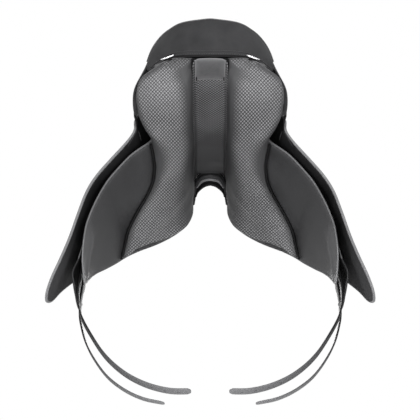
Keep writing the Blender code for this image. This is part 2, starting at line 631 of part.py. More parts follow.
def panel_loop(t):
    """One closed section of a panel at station t, as points from the channel's top round to its lower edge."""
    y = spline([(s[0], 0.0) for s in PANEL_STATIONS], t).x
    top = [spline([s[1][k] for s in PANEL_STATIONS], t) for k in range(4)]
    seam_z = spline([(s[2], 0.0) for s in PANEL_STATIONS], t).x
    bearing = [spline([s[3][k] for s in PANEL_STATIONS], t) for k in range(3)]
    inner = spline([s[4] for s in PANEL_STATIONS], t)
    wall = []
    for k in range(8):
        p = spline([spline(w, k * 2 / 7) for w in PANEL_REAR_WALL], min(t, 5.0))
        if t > 5.0:
            end = side_index(y, seam_z)
            i = PANEL_TOP_INDEX + (end - PANEL_TOP_INDEX) * k / 7
            past = max(0.0, (y - SIDE_TURN_Y[0]) / (SIDE_TURN_Y[1] - SIDE_TURN_Y[0]))
            q = side_point(y, i) - outward(side_point, y, i) * (PANEL_GAP + 0.001 * past)
            p = p.lerp(Vector((q.x, q.z)), min(1.0, t - 5.0))
        wall.append(p)
    face = [wall[-1]] + list(reversed([bearing[2], bearing[1], bearing[0]])) + [inner]
    lower = [spline(face, 4 * k / 7) for k in range(1, 8)]
    outline = top + wall + lower + [inner.lerp(top[0], 0.5)]
    return [Vector((p.x, y, p.y)) for p in outline]


def build_side(side):
    build_panel(side)
    build_sweat_flap(side)
    build_flap(side)
    build_skirt(side)
    build_poley(side)
    build_stirrup_bar(side)
    build_guard(side)
    build_welts(side)
    build_dees(side)
    for y, where, free, twist in ((STRAP_FRONT_Y, "front", STRAP_FREE_FRONT, FRONT_STRAP_TWIST),
                                  (STRAP_REAR_Y, "rear", STRAP_FREE, REAR_STRAP_TWIST)):
        build_strap(side, y, where, free, twist)


def build_panel(side):
    """Stuffed panel: a loft of cross-sections with a rounded bearing face."""
    loops = []
    count = 24
    for k in range(count + 1):
        points = panel_loop((len(PANEL_STATIONS) - 1) * k / count)
        loops.append([mirrored(p, side) for p in points])
    loft(side_name("panel", side), loops, PANEL_LEATHER)
    line = []
    for k in range(41):
        t = 5.35 + 5.60 * k / 40
        here, i = seam_point(t)
        along = seam_point(t + 0.05)[0] - seam_point(t - 0.05)[0]
        normal = outward(side_point, here.y, i)
        away = normal.cross(along).normalized()
        if away.y + away.z > 0:
            away = -away
        p = here + away * (PIPING_RADIUS + 0.0018) - normal * (PIPING_RADIUS + 0.0010)
        line.append(mirrored(p, side))
    tube(side_name("panel_piping", side), line, PIPING_RADIUS, LEATHER)


def seam_point(t):
    """Point of the side surface on a panel's lower seam at station t, with its row index."""
    y = spline([(s[0], 0.0) for s in PANEL_STATIONS], t).x
    z = spline([(s[2], 0.0) for s in PANEL_STATIONS], t).x
    i = side_index(y, z)
    return side_point(y, i), i


def side_rows(surface, rear_edge, front_edge, indices, columns, lift, side):
    rows = []
    for i in indices:
        rear = edge_value(rear_edge, i)
        front = edge_value(front_edge, i)
        row = []
        for c in range(columns):
            y = rear + (front - rear) * c / (columns - 1)
            row.append(mirrored(lifted(surface, y, i, lift(y, i)), side))
        rows.append(row)
    return rows


def build_sweat_flap(side):
    indices = [1.3 + 10.45 * k / 17 for k in range(18)]
    rows = side_rows(side_point, SWEAT_REAR_EDGE, SWEAT_FRONT_EDGE, indices, 11, lambda y, i: 0.0, side)
    sheet(side_name("sweat_flap", side), rows, SWEAT_THICK, LEATHER, (side, 0, 0))


def build_flap(side):
    indices = [12.15 * k / 19 for k in range(20)]
    rows = side_rows(flap_point, FLAP_REAR_EDGE, FLAP_FRONT_EDGE, indices, 11, lambda y, i: 0.0, side)
    obj = sheet(side_name("flap", side), rows, FLAP_THICK, LEATHER, (side, 0, 0))
    corners = []
    for depth in (-0.02, 0.02):
        for y, i in ((NOTCH_Y[0], -0.9), (NOTCH_Y[1], -0.9), (NOTCH_Y[1] - 0.006, NOTCH_INDEX - 0.35),
                     (NOTCH_Y[1] - 0.016, NOTCH_INDEX), (NOTCH_Y[0] + 0.016, NOTCH_INDEX),
                     (NOTCH_Y[0] + 0.006, NOTCH_INDEX - 0.35)):
            corners.append(mirrored(flap_point(y, i) + Vector((depth, 0.0, depth * 0.5)), side))
    faces = [list(range(6)), list(range(6, 12))[::-1]]
    for k in range(6):
        n = (k + 1) % 6
        faces.append([k, k + 6, n + 6, n])
    mesh = mesh_from(side_name("notch_cutter", side), corners, faces)
    outward_faces(mesh)
    cut(obj, make_cutter(mesh.name, mesh))
    set_origin(obj, mirrored(hinge_point(HINGE_MIDDLE_Y), side))


def skirt_lift(y, i):
    across = (y - SKIRT_BULGE_AT[0]) / SKIRT_BULGE_SPREAD[0]
    down = (i - SKIRT_BULGE_AT[1]) / SKIRT_BULGE_SPREAD[1]
    return SKIRT_LIFT + SKIRT_BULGE * math.exp(-across * across - down * down)


def build_skirt(side):
    indices = [0.15 + 3.45 * k / 9 for k in range(10)]
    rows = side_rows(flap_point, SKIRT_REAR_EDGE, SKIRT_FRONT_EDGE, indices, 10, skirt_lift, side)
    obj = sheet(side_name("skirt", side), rows, SKIRT_THICK, LEATHER, (side, 0, 0))
    set_origin(obj, mirrored(hinge_point(HINGE_MIDDLE_Y), side))


def build_poley(side):
    """Knee pad: a stuffed wing that stands out from the front of the flap and leans back at its top."""
    base = FLAP_THICK + 0.0016
    stations = [(1.2, 0.186, 0.208, 0.018), (1.7, 0.172, 0.220, 0.044), (2.4, 0.162, 0.230, 0.060),
                (3.2, 0.157, 0.235, 0.065), (4.0, 0.157, 0.236, 0.060), (4.8, 0.162, 0.230, 0.044),
                (5.4, 0.172, 0.217, 0.020)]
    loops = []
    for k in range(13):
        i, rear, front, height = spline4(stations, k / 2)
        loop = []
        for along, up in ((1.0, 0.0), (0.5, 0.0), (0.0, 0.0), (-0.03, 0.35), (0.0, 0.75), (0.14, 0.97),
                          (0.34, 1.0), (0.56, 0.86), (0.78, 0.60), (0.93, 0.30)):
            y = rear + (front - rear) * along
            loop.append(mirrored(lifted(flap_point, y, i, base + height * up), side))
        loops.append(loop)
    obj = loft(side_name("knee_pad", side), loops, LEATHER, 50.0)
    set_origin(obj, mirrored(hinge_point(HINGE_MIDDLE_Y), side))


def spline4(rows, t):
    """Four-value rows read smoothly by position in the list."""
    a = spline([(r[0], r[1]) for r in rows], t)
    b = spline([(r[2], r[3]) for r in rows], t)
    return a.x, a.y, b.x, b.y


def build_strap(side, y, where, free, twist):
    """Girth strap: hangs from the tree's web, runs straight under the guard and curls inward to its tip."""
    centre_lift = STRAP_OFFSET + STRAP_THICK / 2
    upper = [lifted(side_point, y, i, centre_lift) for i in (0.95, 2.0, 3.0, 4.0, 5.0, 6.0, 7.0)]
    straight = [Vector((x, y, z)) for x, z in STRAP_STRAIGHT]
    points = upper + straight + [Vector((x, y, z)) for x, z in free]
    last = len(points) - 1
    count = 2 * last
    centres = []
    wides = []
    for k in range(count + 1):
        t = last * k / count
        if 7.0 <= t <= 9.0:
            here = points[7].lerp(points[9], (t - 7.0) / 2)
        else:
            here = spline(points, t)
        centres.append(mirrored(here, side))
        if t < 6.0:
            row = 0.95 + t
            wide = side_point(y + 0.01, row) - side_point(y - 0.01, row)
        else:
            wide = Vector((0.0, 1.0, 0.0))
        turned = twist * max(0.0, (t - 9.0) / (last - 9.0))
        along = (spline(points, min(t + 0.1, last)) - spline(points, max(t - 0.1, 0.0))).normalized()
        wide = Matrix.Rotation(turned, 3, along) @ wide.normalized()
        wides.append(mirrored(wide, side))
    halves = [STRAP_WIDTH / 2] * (count + 1)
    halves[-1] = STRAP_WIDTH / 4
    name = f"girth_strap_{where}_{'right' if side > 0 else 'left'}"
    obj = swept_bar(name, centres, wides, halves, [STRAP_THICK / 2] * (count + 1), LEATHER)
    spots = []
    along_total = HOLE_END_DISTANCE
    for _ in range(HOLE_COUNT):
        spots.append(hole_place(centres, wides, along_total))
        along_total += HOLE_PITCH
    mesh = cylinders_mesh(name + "_hole_cutter", spots, HOLE_RADIUS, 0.02, 8)
    cut(obj, make_cutter(mesh.name, mesh))
    set_origin(obj, mirrored(lifted(side_point, y, 1.5, centre_lift), side))


def hole_place(centres, wides, distance):
    """Frame of a punched hole at a distance from the tip."""
    k = len(centres) - 1
    left = distance
    while k > 1 and (centres[k] - centres[k - 1]).length < left:
        left -= (centres[k] - centres[k - 1]).length
        k -= 1
    along = (centres[k - 1] - centres[k]).normalized()
    centre = centres[k] + along * left
    return placement(centre, along.cross(wides[k]), along)


def build_guard(side):
    """Buckle guard over both straps, with a leather keeper that holds it on them."""
    top = Vector((STRAP_STRAIGHT[0][0], 0.0, STRAP_STRAIGHT[0][1]))
    foot = Vector((STRAP_STRAIGHT[2][0], 0.0, STRAP_STRAIGHT[2][1]))
    along = (foot - top).normalized()
    normal = Vector((-along.z, 0.0, along.x))
    outer = STRAP_THICK / 2 + KEEPER_CLEARANCE + KEEPER_WALL + 0.0005
    middle_y = (STRAP_FRONT_Y + STRAP_REAR_Y) / 2
    profile = [(0.026, 0.0), (0.046, 0.0), (0.062, 0.0008), (0.076, 0.0040), (0.088, 0.0066), (0.100, 0.0058),
               (0.112, 0.0016), (0.120, -0.0020)]
    shares = [(0.80, 0.80), (0.95, 0.97), (1.0, 1.0), (1.0, 1.0), (1.0, 1.0), (0.97, 0.97), (0.80, 0.80),
              (0.55, 0.55)]
    rows = []
    for (down, out), (rear, front) in zip(profile, shares):
        centre = top + along * down + normal * (outer + out)
        row = []
        for c in range(7):
            s = -1 + c / 3
            half = 0.0525 * (rear if s < 0 else front)
            row.append(mirrored(centre + Vector((0.0, middle_y + s * half, 0.0)), side))
        rows.append(row)
    guard = sheet(side_name("buckle_guard", side), rows, GUARD_THICK, LEATHER, (side, 0, 0))
    inner_wide = STRAP_WIDTH + 2 * KEEPER_CLEARANCE
    inner_thick = STRAP_THICK + 2 * KEEPER_CLEARANCE
    centre = top + along * 0.048
    centre.y = middle_y
    wide = STRAP_FRONT_Y - STRAP_REAR_Y + inner_wide + 2 * KEEPER_WALL
    size = (KEEPER_LENGTH, wide, inner_thick + 2 * KEEPER_WALL)
    turn = Matrix((along, Vector((0, 1, 0)), along.cross(Vector((0, 1, 0))))).transposed()
    name = side_name("guard_keeper", side)
    mesh = box_mesh(name, size)
    mesh.transform(Matrix.Translation(centre) @ turn.to_4x4())
    place_mirrored(mesh, side)
    obj = add_object(name, mesh, LEATHER)
    for y, where in ((STRAP_FRONT_Y, "front"), (STRAP_REAR_Y, "rear")):
        tunnel = box_mesh(f"{name}_{where}_cutter", (0.04, inner_wide, inner_thick))
        tunnel.transform(Matrix.Translation(Vector((centre.x, y, centre.z))) @ turn.to_4x4())
        place_mirrored(tunnel, side)
        cut(obj, make_cutter(tunnel.name, tunnel))
    for piece in (guard, obj):
        set_origin(piece, mirrored(centre, side))


def place_mirrored(mesh, side):
    """Reflects a closed mesh to the left side when asked."""
    if side < 0:
        mesh.transform(Matrix.Scale(-1, 4, Vector((1, 0, 0))))
        mesh.flip_normals()


def build_welts(side):
    """Welt that closes the seam between the seat's edge and the skirt."""
    line = []
    for k in range(15):
        p = hinge_point(-0.040 + 0.228 * k / 14) + Vector((-0.0045, 0.0, 0.0052))
        line.append(mirrored(p, side))
    tube(side_name("seat_welt", side), line, WELT_RADIUS, LEATHER)


def bar_frame():
    """Point of the tree's side at the middle of the stirrup bar, with its outward and downward directions."""
    origin = tree_point(0.108, BAR_SHARE)
    down = (tree_point(0.108, 0.99) - tree_point(0.108, 0.80)).normalized()
    along = (tree_point(0.135, BAR_SHARE) - tree_point(0.080, BAR_SHARE)).normalized()
    out = down.cross(along).normalized()
    if out.x < 0:
        out = -out
    return origin, along, out, down


def build_stirrup_bar(side):
    """Forged bar: a flat plate riveted to the tree, turned out and back into an open hook, with a hinged catch."""
    origin, along, out, down = bar_frame()
    aside = Vector((0.97, 0.10, -0.24)).normalized()
    path = [(-0.034, 0.0, 0.0080, 0.0015), (-0.010, 0.0, 0.0082, 0.0015), (0.016, 0.0, 0.0078, 0.0016),
            (0.030, 0.002, 0.0065, 0.0024), (0.0365, 0.0075, 0.0050, 0.0032), (0.0365, 0.0140, 0.0045, 0.0034),
            (0.030, 0.0185, 0.0042, 0.0032), (0.016, 0.0200, 0.0040, 0.0030), (-0.018, 0.0200, 0.0040, 0.0030)]
    centres = []
    for step, reach, _, _ in path:
        centres.append(origin + along * step + out * 0.0030 + aside * reach)
    wides = [mirrored(down, side) for _ in path]
    obj = swept_bar(side_name("stirrup_bar", side), [mirrored(p, side) for p in centres], wides,
                    [p[2] for p in path], [p[3] for p in path], STEEL)
    obj.data.name = obj.name
    pivot = centres[-1] - along * 0.0035
    body = [pivot + along * 0.0022, pivot, pivot - along * 0.0065, pivot - along * 0.0115]
    catch = swept_bar(side_name("bar_catch", side), [mirrored(p, side) for p in body],
                      [mirrored(down, side)] * 4, [0.0014, 0.0026, 0.0040, 0.0028], [0.0026] * 4, STEEL)
    set_origin(catch, mirrored(pivot, side))
    for step, where in ((-0.024, "rear"), (0.008, "front")):
        head = origin + along * step + out * (0.0030 + 0.0016 + 0.0009)
        spot = placement(mirrored(head, side), mirrored(out, side), mirrored(along, side))
        add_fastener(side_name(f"bar_rivet_{where}", side), spot, 0.0034, 0.0012)


def add_fastener(name, spot, radius, height):
    mesh = cylinders_mesh(name, [spot], radius, height, 12)
    smooth(mesh)
    add_object(name, mesh, STEEL)


def build_gullet_plate():
    """Steel plate under the head of the tree, with four screws."""
    rows = []
    for y in (0.164, 0.188):
        rows.append([tree_lowered(y, -0.70 + 1.40 * c / 12, TREE_THICK + 0.0024) for c in range(13)])
    sheet("gullet_plate", rows, 0.003, STEEL, (0, 0, -1))
    for side in (-1, 1):
        for share, where in ((0.30, "upper"), (0.58, "lower")):
            p = tree_lowered(0.176, share, TREE_THICK + 0.0024 + 0.003 + 0.0022)
            top = tree_point(0.176, share)
            spot = placement(mirrored(p, side), mirrored(p - top, side), Vector((0, 1, 0)))
            add_fastener(side_name(f"gullet_screw_{where}", side), spot, 0.004, 0.0020)


def build_webs():
    """Two webs over the tree, one for each pair of girth straps."""
    for y, where in ((STRAP_FRONT_Y, "front"), (STRAP_REAR_Y, "rear")):
        rows = []
        for k in range(-8, 9):
            row = []
            for across in (-0.5, -0.17, 0.17, 0.5):
                row.append(web_point(y + across * WEB_WIDTH, k))
            rows.append(row)
        sheet(f"girth_web_{where}", rows, WEB_THICK, WEBBING, (0, 0, 1))


def web_point(y, k):
    side = 1 if k >= 0 else -1
    step = abs(k)
    if step <= 4:
        p = tree_lowered(y, 0.94 * step / 4, -0.0013)
    else:
        path = [tree_lowered(y, 0.94, -0.0013), lifted(side_point, y, 0.35, WEB_OFFSET + 0.0015),
                lifted(side_point, y, 0.95, WEB_OFFSET), lifted(side_point, y, 1.5, WEB_OFFSET),
                lifted(side_point, y, 2.0, WEB_OFFSET)]
        p = path[step - 4]
    return mirrored(p, side)


def dee_points(width, depth):
    """D-shaped ring in its own plane: a straight bar along X and an arc below it."""
    points = [Vector((-width / 2, 0.0, 0.0)), Vector((-width / 6, 0.0, 0.0)), Vector((width / 6, 0.0, 0.0)),
              Vector((width / 2, 0.0, 0.0))]
    for k in range(1, 12):
        angle = math.pi * k / 12
        points.append(Vector((math.cos(angle) * width / 2, 0.0, -math.sin(angle) * depth)))
    return points


def build_dees(side):
    """Small rings on folded chapes, two at the pommel and two under the cantle."""
    for where, centre, along, hang, tail, depth, reach in (
            ("front", Vector((0.0465, 0.2400, 0.0105)), Vector((0.97, -0.24, -0.05)), Vector((0.0, 0.0, -1.0)), -1,
             DEE_DEPTH, 0.0120),
            ("rear", Vector((0.0820, -0.2262, 0.0165)), Vector((0.95, 0.22, -0.24)), REAR_DEE_LEAN, 1,
             0.017, 0.0105)):
        x = along.normalized()
        z = (Vector((0.0, 0.0, 1.0)) - x * x.z).normalized()
        y = z.cross(x) * tail
        frame = Matrix.Translation(centre) @ Matrix((x, y, z)).transposed().to_4x4()
        up = (x * hang.dot(x) - hang).normalized()
        swung = Matrix.Translation(centre) @ Matrix((x, up.cross(x), up)).transposed().to_4x4()
        name = side_name(f"dee_{where}", side)
        origin = mirrored(centre, side)
        ring = [mirrored(swung @ p, side) - origin for p in dee_points(DEE_WIDTH, depth)]
        obj = tube(name, ring, WIRE_RADIUS, STEEL, closed=True)
        obj.location = origin
        loop = WIRE_RADIUS + 0.0004
        profile = [(reach, loop)]
        for k in range(7):
            angle = math.pi / 2 + math.pi * k / 6
            profile.append((loop * math.cos(angle), loop * math.sin(angle)))
        profile.append((reach, -loop))
        rows = [[mirrored(frame @ Vector((w, a, b)), side) for w in (-0.006, 0.006)] for a, b in profile]
        sheet(side_name(f"chape_{where}", side), rows, 0.0012, LEATHER, mirrored(-y, side))


def main():
    build_seat()
    build_tree()
    build_cantle()
    build_pommel()
    build_lining()
    build_gullet_plate()
    build_webs()
    for side in (-1, 1):
        build_side(side)


if __name__ == "__main__":
    main()
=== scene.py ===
"""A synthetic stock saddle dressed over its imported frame: padding, leather, suede, stitching, fittings."""

import math

import bmesh
import bpy
import numpy as np
from mathutils import Matrix, Vector


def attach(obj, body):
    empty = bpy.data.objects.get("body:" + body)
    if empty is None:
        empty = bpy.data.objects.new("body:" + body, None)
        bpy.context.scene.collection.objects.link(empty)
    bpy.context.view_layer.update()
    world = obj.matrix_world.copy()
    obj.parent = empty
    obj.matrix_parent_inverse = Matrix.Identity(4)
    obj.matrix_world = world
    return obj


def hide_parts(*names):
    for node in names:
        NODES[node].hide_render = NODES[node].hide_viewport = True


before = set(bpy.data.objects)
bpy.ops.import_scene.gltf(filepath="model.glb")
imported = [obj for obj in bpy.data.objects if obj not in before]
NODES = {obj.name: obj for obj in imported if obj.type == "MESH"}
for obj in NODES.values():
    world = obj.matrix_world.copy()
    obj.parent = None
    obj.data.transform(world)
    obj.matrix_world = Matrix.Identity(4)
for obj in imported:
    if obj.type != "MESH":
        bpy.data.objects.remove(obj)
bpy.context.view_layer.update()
SIDES = ((1, "right"), (-1, "left"))

# Thicknesses and driving sizes, in metres
SEAT_THICK = 0.012
TREE_THICK = 0.008
SWEAT_THICK = 0.003
FLAP_THICK = 0.004
SKIRT_THICK = 0.0035
SKIRT_LIFT = 0.0054
STRAP_WIDTH = 0.024
STRAP_THICK = 0.0032
STRAP_OFFSET = 0.0075
WEB_OFFSET = 0.0049
GUARD_THICK = 0.0025
KEEPER_CLEARANCE = 0.0008
KEEPER_WALL = 0.0014
KEEPER_LENGTH = 0.018
KEEPER_DOWN = 0.048
LINING_THICK = 0.0016
PIPING_RADIUS = 0.0023
WELT_RADIUS = 0.0032
STRAP_REAR_Y = 0.0
STRAP_FRONT_Y = 0.045
HOLE_RADIUS = 0.0025
HOLE_PITCH = 0.025
HOLE_COUNT = 7
HOLE_END_DISTANCE = 0.022
DRILL_LENGTH = 0.012
WEB_WIDTH = 0.036
WEB_THICK = 0.002
WIRE_RADIUS = 0.002
RING_RADIUS = WIRE_RADIUS * 0.7
BAR_SHARE = 0.935
BAR_Y = 0.108
SCREW_Y = 0.176
DEE_WIDTH = 0.028
DEE_DEPTH = 0.02
REAR_DEE_LEAN = Vector((-0.032, -0.769, -0.638))

# Hinge line of a flap and its skirt: X and Z at two stations along the seat's edge
HINGE_REAR = (0.126, -0.08, -0.008)
HINGE_FRONT = (0.066, 0.19, -0.002)


# Inner face of the sweat flap, as (X, Z) down the horse's side, at a rear and a front station
SIDE_REAR_Y = -0.075
SIDE_FRONT_Y = 0.13
SIDE_REAR = [
    (0.112, 0.0), (0.117, -0.028), (0.125, -0.057), (0.144, -0.081), (0.163, -0.101), (0.184, -0.133),
    (0.202, -0.164), (0.217, -0.199), (0.229, -0.234), (0.2366, -0.268), (0.2407, -0.303), (0.2425, -0.335),
    (0.242, -0.372)
]
SIDE_FRONT = [
    (0.066, 0.0), (0.07, -0.028), (0.077, -0.057), (0.095, -0.081), (0.115, -0.101), (0.15, -0.133),
    (0.172, -0.164), (0.181, -0.199), (0.192, -0.234), (0.208, -0.268), (0.226, -0.303), (0.235, -0.335),
    (0.238, -0.372)
]
# Extra turn inward of the same face ahead of a station, full at the front edge
SIDE_TURN_Y = (0.12, 0.236)
SIDE_TURN = [0.003, 0.005, 0.008, 0.012, 0.022, 0.04, 0.048, 0.03, 0.0, 0.0, 0.0, 0.0, 0.0]
SWEAT_ROWS = (1.3, 11.75)
SWEAT_REAR_EDGE = [
    (1.3, -0.05), (2, -0.052), (3, -0.06), (4, -0.066), (5, -0.073), (6, -0.078), (7, -0.08), (8, -0.078),
    (9, -0.073), (10, -0.063), (10.7, -0.052), (11.3, -0.038), (11.75, -0.02)
]
SWEAT_FRONT_EDGE = [
    (1.3, 0.236), (2, 0.237), (3, 0.236), (4, 0.232), (5, 0.219), (6, 0.196), (7, 0.1645), (8, 0.134),
    (9, 0.102), (10, 0.066), (10.7, 0.044), (11.3, 0.022), (11.75, -0.001)
]

# Inner face of the outer flap, at a rear and a front station
FLAP_REAR_Y = -0.09
FLAP_FRONT_Y = 0.13
FLAP_REAR = [
    (0.128, -0.008), (0.1435, -0.02), (0.148, -0.038), (0.149, -0.058), (0.1635, -0.085), (0.1945, -0.131),
    (0.2195, -0.17), (0.2366, -0.2075), (0.2505, -0.2566), (0.2635, -0.305), (0.28, -0.35),
    (0.2965, -0.382), (0.3105, -0.4045)
]
FLAP_FRONT = [
    (0.079, -0.004), (0.086, -0.024), (0.096, -0.046), (0.112, -0.068), (0.133, -0.09), (0.166, -0.121),
    (0.191, -0.155), (0.207, -0.193), (0.226, -0.232), (0.246, -0.265), (0.268, -0.303), (0.284, -0.342),
    (0.302, -0.385)
]
FLAP_ROWS = (0.03, 12.2)
FLAP_REAR_EDGE = [
    (0, -0.042), (0.5, -0.07), (1, -0.09), (2, -0.093), (3, -0.09), (4, -0.088), (5, -0.09), (6, -0.092),
    (7, -0.093), (8, -0.092), (9, -0.088), (10, -0.078), (11, -0.062), (11.7, -0.044), (12.15, -0.026)
]
FLAP_FRONT_EDGE = [
    (0, 0.196), (1, 0.214), (2, 0.23), (3, 0.241), (4, 0.246), (5, 0.24), (6, 0.217), (7, 0.184), (8, 0.15),
    (9, 0.114), (10, 0.07), (11, 0.032), (11.7, 0.02), (12.15, 0.006)
]
NOTCH_Y = (0.06, 0.156)
NOTCH_INDEX = 1.75

# Skirt outline over the flap, in the flap's own grid
SKIRT_ROWS = (0.15, 3.6)
SKIRT_REAR_EDGE = [
    (0.15, -0.042), (0.5, -0.052), (0.9, -0.068), (1.6, -0.084), (2.4, -0.068), (3.1, -0.032), (3.6, 0.01)
]
SKIRT_FRONT_EDGE = [
    (0.15, 0.147), (0.5, 0.149), (0.9, 0.15), (1.6, 0.148), (2.4, 0.138), (3.1, 0.118), (3.6, 0.086)
]
SKIRT_BULGE = 0.011
SKIRT_BULGE_AT = (0.11, 1.1)
SKIRT_BULGE_SPREAD = (0.06, 1.3)

# Top of the seat: half rows from the centre line to the edge, cantle rim first, pommel last
SEAT_ROWS = [
    [(0.0, -0.24, 0.1), (0.053, -0.232, 0.097), (0.081, -0.218, 0.0905), (0.1005, -0.203, 0.0815),
     (0.117, -0.188, 0.062), (0.129, -0.177, 0.027)],
    [(0.0, -0.226, 0.107), (0.05, -0.219, 0.104), (0.076, -0.206, 0.0975), (0.095, -0.191, 0.088),
     (0.116, -0.174, 0.058), (0.1475, -0.158, 0.003)],
    [(0.0, -0.207, 0.099), (0.045, -0.201, 0.097), (0.07, -0.19, 0.091), (0.094, -0.172, 0.075),
     (0.125, -0.154, 0.038), (0.1535, -0.136, -0.01)],
    [(0.0, -0.18, 0.076), (0.04, -0.176, 0.076), (0.068, -0.166, 0.072), (0.098, -0.15, 0.057),
     (0.13, -0.131, 0.022), (0.151, -0.11, -0.034)],
    [(0.0, -0.14, 0.058), (0.04, -0.138, 0.058), (0.072, -0.13, 0.054), (0.102, -0.118, 0.041),
     (0.124, -0.1, 0.02), (0.1395, -0.084, -0.007)],
    [(0.0, -0.08, 0.046), (0.034, -0.078, 0.046), (0.062, -0.072, 0.042), (0.086, -0.062, 0.031),
     (0.104, -0.048, 0.018), (0.113, -0.034, 0.006)],
    [(0.0, -0.01, 0.042), (0.03, -0.009, 0.042), (0.056, -0.004, 0.038), (0.076, 0.002, 0.028),
     (0.09, 0.01, 0.017), (0.099, 0.018, 0.006)],
    [(0.0, 0.06, 0.046), (0.026, 0.06, 0.045), (0.048, 0.06, 0.04), (0.066, 0.062, 0.03),
     (0.079, 0.066, 0.018), (0.087, 0.07, 0.007)],
    [(0.0, 0.13, 0.057), (0.022, 0.13, 0.056), (0.042, 0.13, 0.049), (0.058, 0.13, 0.037),
     (0.07, 0.13, 0.022), (0.076, 0.13, 0.0085)],
    [(0.0, 0.185, 0.071), (0.02, 0.185, 0.069), (0.038, 0.184, 0.06), (0.052, 0.182, 0.046),
     (0.062, 0.18, 0.028), (0.0675, 0.178, 0.01)],
    [(0.0, 0.212, 0.079), (0.018, 0.211, 0.077), (0.034, 0.208, 0.068), (0.048, 0.204, 0.052),
     (0.058, 0.2, 0.032), (0.064, 0.197, 0.012)],
    [(0.0, 0.228, 0.071), (0.016, 0.227, 0.069), (0.031, 0.223, 0.06), (0.044, 0.218, 0.046),
     (0.054, 0.212, 0.028), (0.06, 0.208, 0.01)],
    [(0.0, 0.234, 0.052), (0.015, 0.233, 0.05), (0.029, 0.23, 0.043), (0.041, 0.224, 0.031),
     (0.051, 0.217, 0.018), (0.057, 0.212, 0.006)]
]
# Top of the tree: half sections (X, Z) at stations along Y
TREE_STATIONS = [
    (-0.212, [(0.0, 0.027), (0.04, 0.026), (0.072, 0.022), (0.096, 0.015), (0.108, 0.009)]),
    (-0.16, [(0.0, 0.027), (0.042, 0.026), (0.078, 0.022), (0.106, 0.013), (0.122, 0.004)]),
    (-0.1, [(0.0, 0.027), (0.038, 0.025), (0.072, 0.019), (0.098, 0.008), (0.116, -0.006)]),
    (-0.04, [(0.0, 0.0255), (0.034, 0.0235), (0.062, 0.018), (0.084, 0.006), (0.098, -0.008)]),
    (0.02, [(0.0, 0.0255), (0.03, 0.0235), (0.054, 0.017), (0.072, 0.005), (0.084, -0.01)]),
    (0.08, [(0.0, 0.0295), (0.026, 0.0265), (0.047, 0.018), (0.062, 0.003), (0.072, -0.014)]),
    (0.13, [(0.0, 0.04), (0.023, 0.036), (0.042, 0.023), (0.056, 0.004), (0.065, -0.018)]),
    (0.165, [(0.0, 0.05), (0.021, 0.046), (0.038, 0.031), (0.05, 0.007), (0.057, -0.02)]),
    (0.202, [(0.0, 0.058), (0.02, 0.053), (0.036, 0.037), (0.048, 0.012), (0.054, -0.016)])
]

